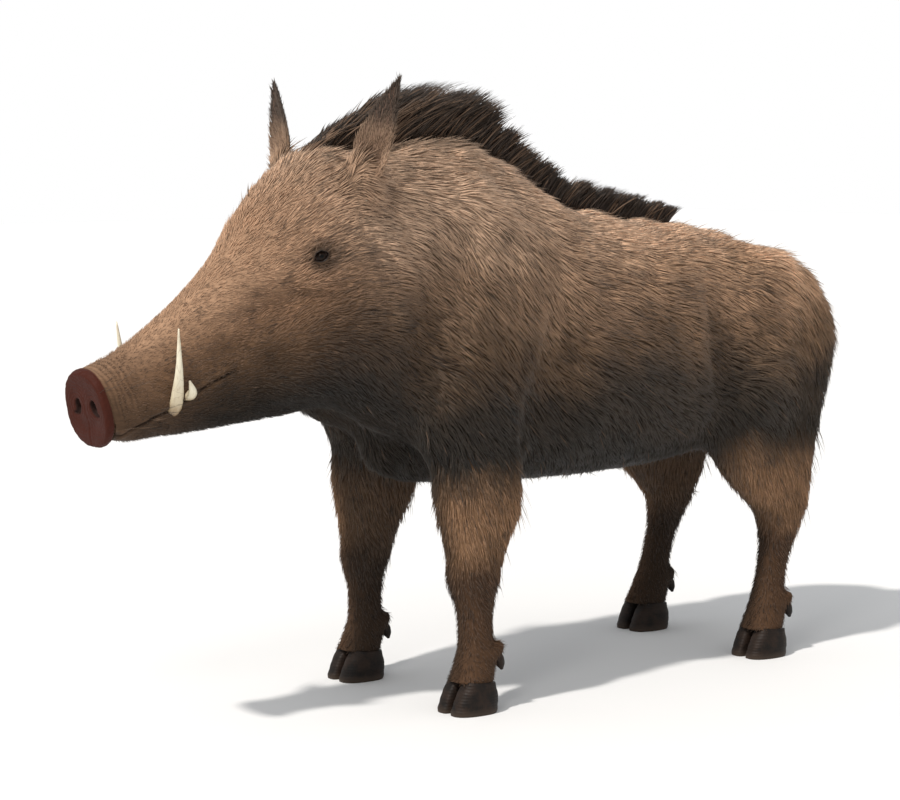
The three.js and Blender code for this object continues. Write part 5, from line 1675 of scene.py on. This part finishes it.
def ear_set(RE, NE, seed):
    r = np.random.default_rng(seed)
    sg = np.where(RE[:, :1] < 0, np.array([-1.0, 1, 1]), 1.0)
    h = RE * sg
    hn = NE * sg
    across = np.cross(up_e, face_e)
    w = (h - EAR_BASE) @ across
    ff = smooth01(hn @ face_e, 0.2, 0.7)
    edge = smooth01(np.abs(hn @ across), 0.55, 0.95)
    D = up_e[None] * 1.0 + across[None] * (np.clip(w / 12, -1, 1) * (0.12 + 0.16 * ff + 0.3 * edge))[:, None]
    D = D + r.normal(0, 0.12, D.shape)
    D = unit(D - hn * (D * hn).sum(1)[:, None]) * sg
    n = len(RE)
    L = (11 + 5 * edge + 3 * ff * (1 - edge)) * r.uniform(0.7, 1.25, n)
    tipk = 1 - 0.25 * smooth01((h - EAR_BASE) @ up_e, 110, 175)
    rad = math.pi / 180
    return dict(R=RE, N=NE, D=D, L=L * tipk, W=1.35 * r.uniform(0.75, 1.2, n) * 1, l0=(15 + 9 * edge + r.normal(0, 4, n)) * rad, l1=(6 + r.normal(0, 5, n)) * rad, pull=np.zeros((n, 3)), rings=FINE_RINGS, rand=np.clip(r.normal(0.5, 0.2, n), 0, 1))


tuft_piece("coat_ears", M_COAT, [ear_set(RE, NE, 33)], chart("ear", -10, 190), )

# tail, with a tassel
RT, NT = scatter(SV, STRI, SN, (tri_part == 2) * (cen[:, 2] > 330) * clear_of_body * 1.0, int(2000 * COAT), 41)


def tail_set(R, N, seed):
    r = np.random.default_rng(seed)
    n = len(R)
    tas = 1 - smooth01(R[:, 2], 400, 500)
    D = np.array([0, 0.04, -1.0]) + r.normal(0, 0.09, (n, 3))
    D = unit(D - N * (D * N).sum(1)[:, None])
    L = (17 + 22 * tas) * r.uniform(0.75, 1.2, n)
    L = np.minimum(L, np.maximum(R[:, 2] - 312, 8))
    rad = math.pi / 180
    return dict(R=R, N=N, D=D, L=L, W=1.9 * r.uniform(0.8, 1.2, n) * 1, l0=(13 + r.normal(0, 4, n)) * rad, l1=(2 + r.normal(0, 5, n)) * rad, pull=np.zeros((n, 3)), rings=FINE_RINGS, rand=np.clip(r.normal(0.5, 0.2, n), 0, 1))


tuft_piece("coat_tail", M_COAT, [tail_set(RT, NT, 43)], chart("tail", 310, 640))

# the mane, from between the ears to the middle of the back
rm = np.random.default_rng(61)
nm = int(9000 * COAT)
ym = rm.uniform(-206, 545, nm)
wid = np.interp(ym, [-206, -140, 0, 200, 400, 545], [10, 18, 22, 20, 16, 10])
xm = np.clip(rm.normal(0, 0.42, nm), -1, 1) * wid
topm = np.interp(ym, trunk_t.p, trunk_t.w[:, 0])
PM = np.stack([xm, ym, topm - 14], 1)
PM = onto(skin_d, PM, 3, 20)
NM = unit(gradient(skin_d, PM))

cseed = np.floor((PM[:, 1] + 6 * np.sign(xm)) / 15 + 0.35 * wobble(PM, 40, 66)).astype(int)
cr = np.random.default_rng(62).uniform(0.82, 1.12, cseed.max() - cseed.min() + 1)[cseed - cseed.min()]
clean = np.random.default_rng(63).normal(0, 1, cseed.max() - cseed.min() + 1)[cseed - cseed.min()]
lean = np.radians(np.clip(40 + 7 * clean + 6 * rm.normal(0, 1, nm), 20, 62))  # from upright, backwards
rise = np.zeros(nm)
for _ in range(9):  # the tips reach the crest's outline at the place to which they lean
    goal = crest_t(np.clip(PM[:, 1] + rise * np.tan(lean), CREST[0][0], 560))[0]
    rise = 0.5 * rise + 0.5 * np.clip(goal + 9 - PM[:, 2], 14, 130)
rise = rise * cr * (1 - 0.22 * rm.random(nm) ** 1.6) * np.interp(ym, [-206, -150], [0.62, 1.0])
slope = np.arctan2(NM[:, 1], NM[:, 2])  # how far the skin's own normal leans back
LM = rise / np.cos(lean + 0.07)
lean = lean - slope
DM = np.stack([0.10 * xm / 20 + 0.10 * rm.normal(0, 1, nm), np.ones(nm), np.zeros(nm)], 1)
DM = unit(DM - NM * (DM * NM).sum(1)[:, None])
l0 = math.pi / 2 - lean + 0.16
l1 = math.pi / 2 - lean - 0.30
CM, _ = clumps(PM, 15, 67)
pm = (CM - PM) * 0.5
WM = 3.1 * rm.uniform(0.7, 1.2, nm) * 1
randm = np.clip(0.5 + 0.2 * clean + rm.normal(0, 0.2, nm), 0, 1)
for name, pick in (("mane_front", ym < 130), ("mane_back", ym >= 130)):
    st = dict(R=PM[pick], N=NM[pick], D=DM[pick], L=LM[pick], W=WM[pick], l0=l0[pick], l1=l1[pick], pull=pm[pick], rings=LONG_RINGS, rand=randm[pick])
    tuft_piece(name, M_MANE, [st], chart("strip", -230 if "front" in name else 128, 132 if "front" in name else 550), ["crest"])

# sparse dark bristles that stand out of the coat
wb = np.where(Lc > 15, 1.0, 0.35) * ok
RB, NB = scatter(SV, STRI, SN, wb, int(3800 * COAT), 71)
leg_back = (RB[:, 2] < 420) & (NB[:, 1] > 0.3)
for side, m in (("left", RB[:, 0] >= 0), ("right", RB[:, 0] < 0)):
    st = coat_set(RB[m], NB[m], FINE_RINGS, 73 + (side == "right"), length=1.0, width=0.8, lift=(27, 6), tip=(16, 7), pull=0.0)
    st["L"] *= np.where(leg_back[m], 1.5, 1.0) * np.where(coat_length(RB[m], NB[m]) > 30, 0.92, 1.25)
    tuft_piece(f"bristles_{side}", M_BRISTLE, [st], chart("body", -620, 900))


def whiskers():
    """Long whiskers of the lips, chin and brow, and the lashes of the upper lid."""
    r = np.random.default_rng(81)
    spots = [(120, 12, 20, 28, 34, 16), (66, 12, -40, 34, 30, 14), (36, 10, 20, 28, 24, 14), (40, 9, -60, 26, 20, 10), (368, 6, 122, 30, 12, 7)]
    Rs, Ls = [], []
    for s0, n, t0, L0, ds, dt in spots:
        s, t = s0 + r.normal(0, 1, n) * ds, t0 + r.normal(0, 1, n) * dt
        p = from_head(np.full(n, 60.0), s, t)
        p = onto(skin_d, p, 6, 30)
        Rs.append(p)
        Ls.append(L0 * r.uniform(0.7, 1.3, n))
    P, L = np.concatenate(Rs), np.concatenate(Ls)
    fine = (P[:, 0] > 8) & np.isfinite(P).all(1)
    P, L = P[fine], L[fine]
    N_ = unit(gradient(skin_d, P))
    D = flow(P, N_)
    n = len(P)
    sets = []
    for sg in (1, -1):
        m = np.array([sg, 1, 1.0])
        sets.append(dict(R=P * m, N=N_ * m, D=D * m, L=L, W=np.full(n, 0.6), l0=np.full(n, 0.62) + r.normal(0, 0.1, n), l1=np.full(n, 0.2) + r.normal(0, 0.1, n), pull=np.zeros((n, 3)), rings=LONG_RINGS, rand=r.random(n)))
    # lashes
    k = 34
    a = np.linspace(-10.2, 10.8, k)
    u = np.clip(np.abs(a) / 11.5, 0, 1)
    b = 8.0 * (1 - u**2.4) + 0.9
    c = np.sqrt(np.maximum((EYE_R + 2.3) ** 2 - a * a - b * b, 1)) + 0.4
    P = EYE_C + np.outer(a, EYE_A) + np.outer(b, EYE_B) + np.outer(c, EYE_N)
    D = unit(np.outer(np.ones(k), EYE_N) * 0.8 + np.outer(a / 16, EYE_A) + 0.22 * EYE_B - 0.05)
    N_ = np.tile(EYE_B, (k, 1))
    N_ = unit(N_ - D * (N_ * D).sum(1)[:, None])
    for sg in (1, -1):
        m = np.array([sg, 1, 1.0])
        sets.append(dict(R=P * m, N=N_ * m, D=D * m, L=np.full(k, 10.5) * r.uniform(0.8, 1.15, k), W=np.full(k, 0.65), l0=np.full(k, -0.15), l1=np.full(k, 0.55), pull=np.zeros((k, 3)), rings=LONG_RINGS, rand=r.random(k)))
    for st in sets:
        st["sink"] = 0.6
    tuft_piece("whiskers", M_MANE, sets, chart("head", 0, 430))


whiskers()
print("PIECES", PIECES, sum(n for _, n in PIECES))

# ------------------------------------------------------------------ floor, light and camera
def flat_material(name, col):
    m, T, b = material(name)
    T.put(b.inputs["Base Color"], col)
    b.inputs["Roughness"].default_value = 0.85
    b.inputs["Specular IOR Level"].default_value = 0.1
    return m


bm = bmesh.new()
bmesh.ops.create_grid(bm, x_segments=8, y_segments=8, size=22.0)
me = bpy.data.meshes.new("floor")
bm.to_mesh(me)
bm.free()
floor = bpy.data.objects.new("floor", me)
floor.location.z = 0.0
bpy.context.scene.collection.objects.link(floor)
me.materials.append(flat_material("floor", (0.80, 0.80, 0.80)))
floor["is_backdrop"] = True

world = bpy.data.worlds.new("studio")
bpy.context.scene.world = world
world.use_nodes = True
W = Tree(world.node_tree)
wo = W.add("ShaderNodeOutputWorld")
bg1 = W.add("ShaderNodeBackground", (0.97, 0.985, 1.0), 0.66)
bg2 = W.add("ShaderNodeBackground", (1.0, 1.0, 1.0), 1.0)
lp = W.add("ShaderNodeLightPath")
mx = W.add("ShaderNodeMixShader", lp.outputs["Is Camera Ray"], bg1, bg2)
W.put(wo.inputs[0], mx)

sun = bpy.data.lights.new("sun", "SUN")
sun.energy = 2.75
sun.angle = math.radians(3)
sun.color = (1.0, 0.955, 0.90)
so = bpy.data.objects.new("sun", sun)
so.rotation_euler = Vector((0.10, -0.56, 0.82)).to_track_quat("Z", "Y").to_euler()
bpy.context.scene.collection.objects.link(so)

card = bpy.data.lights.new("card", "AREA")
card.shape = "DISK"
card.size = 0.7
card.energy = 14
card.color = (1.0, 0.97, 0.93)
ca = bpy.data.objects.new("card", card)
ca.location = (1.6, -2.4, 2.5)
ca.rotation_euler = (Vector((1.6, -2.4, 2.5)) - Vector((0.1, -0.45, 0.72))).to_track_quat("Z", "Y").to_euler()
bpy.context.scene.collection.objects.link(ca)

scene = bpy.context.scene
scene.view_settings.view_transform = "Standard"
scene.view_settings.look = "None"
cam = bpy.data.cameras.new("camera")
cam.sensor_width = 36
cam.lens = 91.54
cam.clip_end = 100
co = bpy.data.objects.new("camera", cam)
co.location = (2.8763, -2.3698, 0.8695)
co.rotation_euler = (Vector((0, -0.0824, 0.4712)) - co.location).to_track_quat("-Z", "Y").to_euler()
scene.collection.objects.link(co)
scene.camera = co

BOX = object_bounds()
as_lists = lambda b: [[float(q) for q in v] if hasattr(v, "__len__") else float(v) for v in b]
{"cad": as_lists(CAD_BOX), "visual": as_lists(BOX)}
print("BOX", as_lists(CAD_BOX), as_lists(BOX))
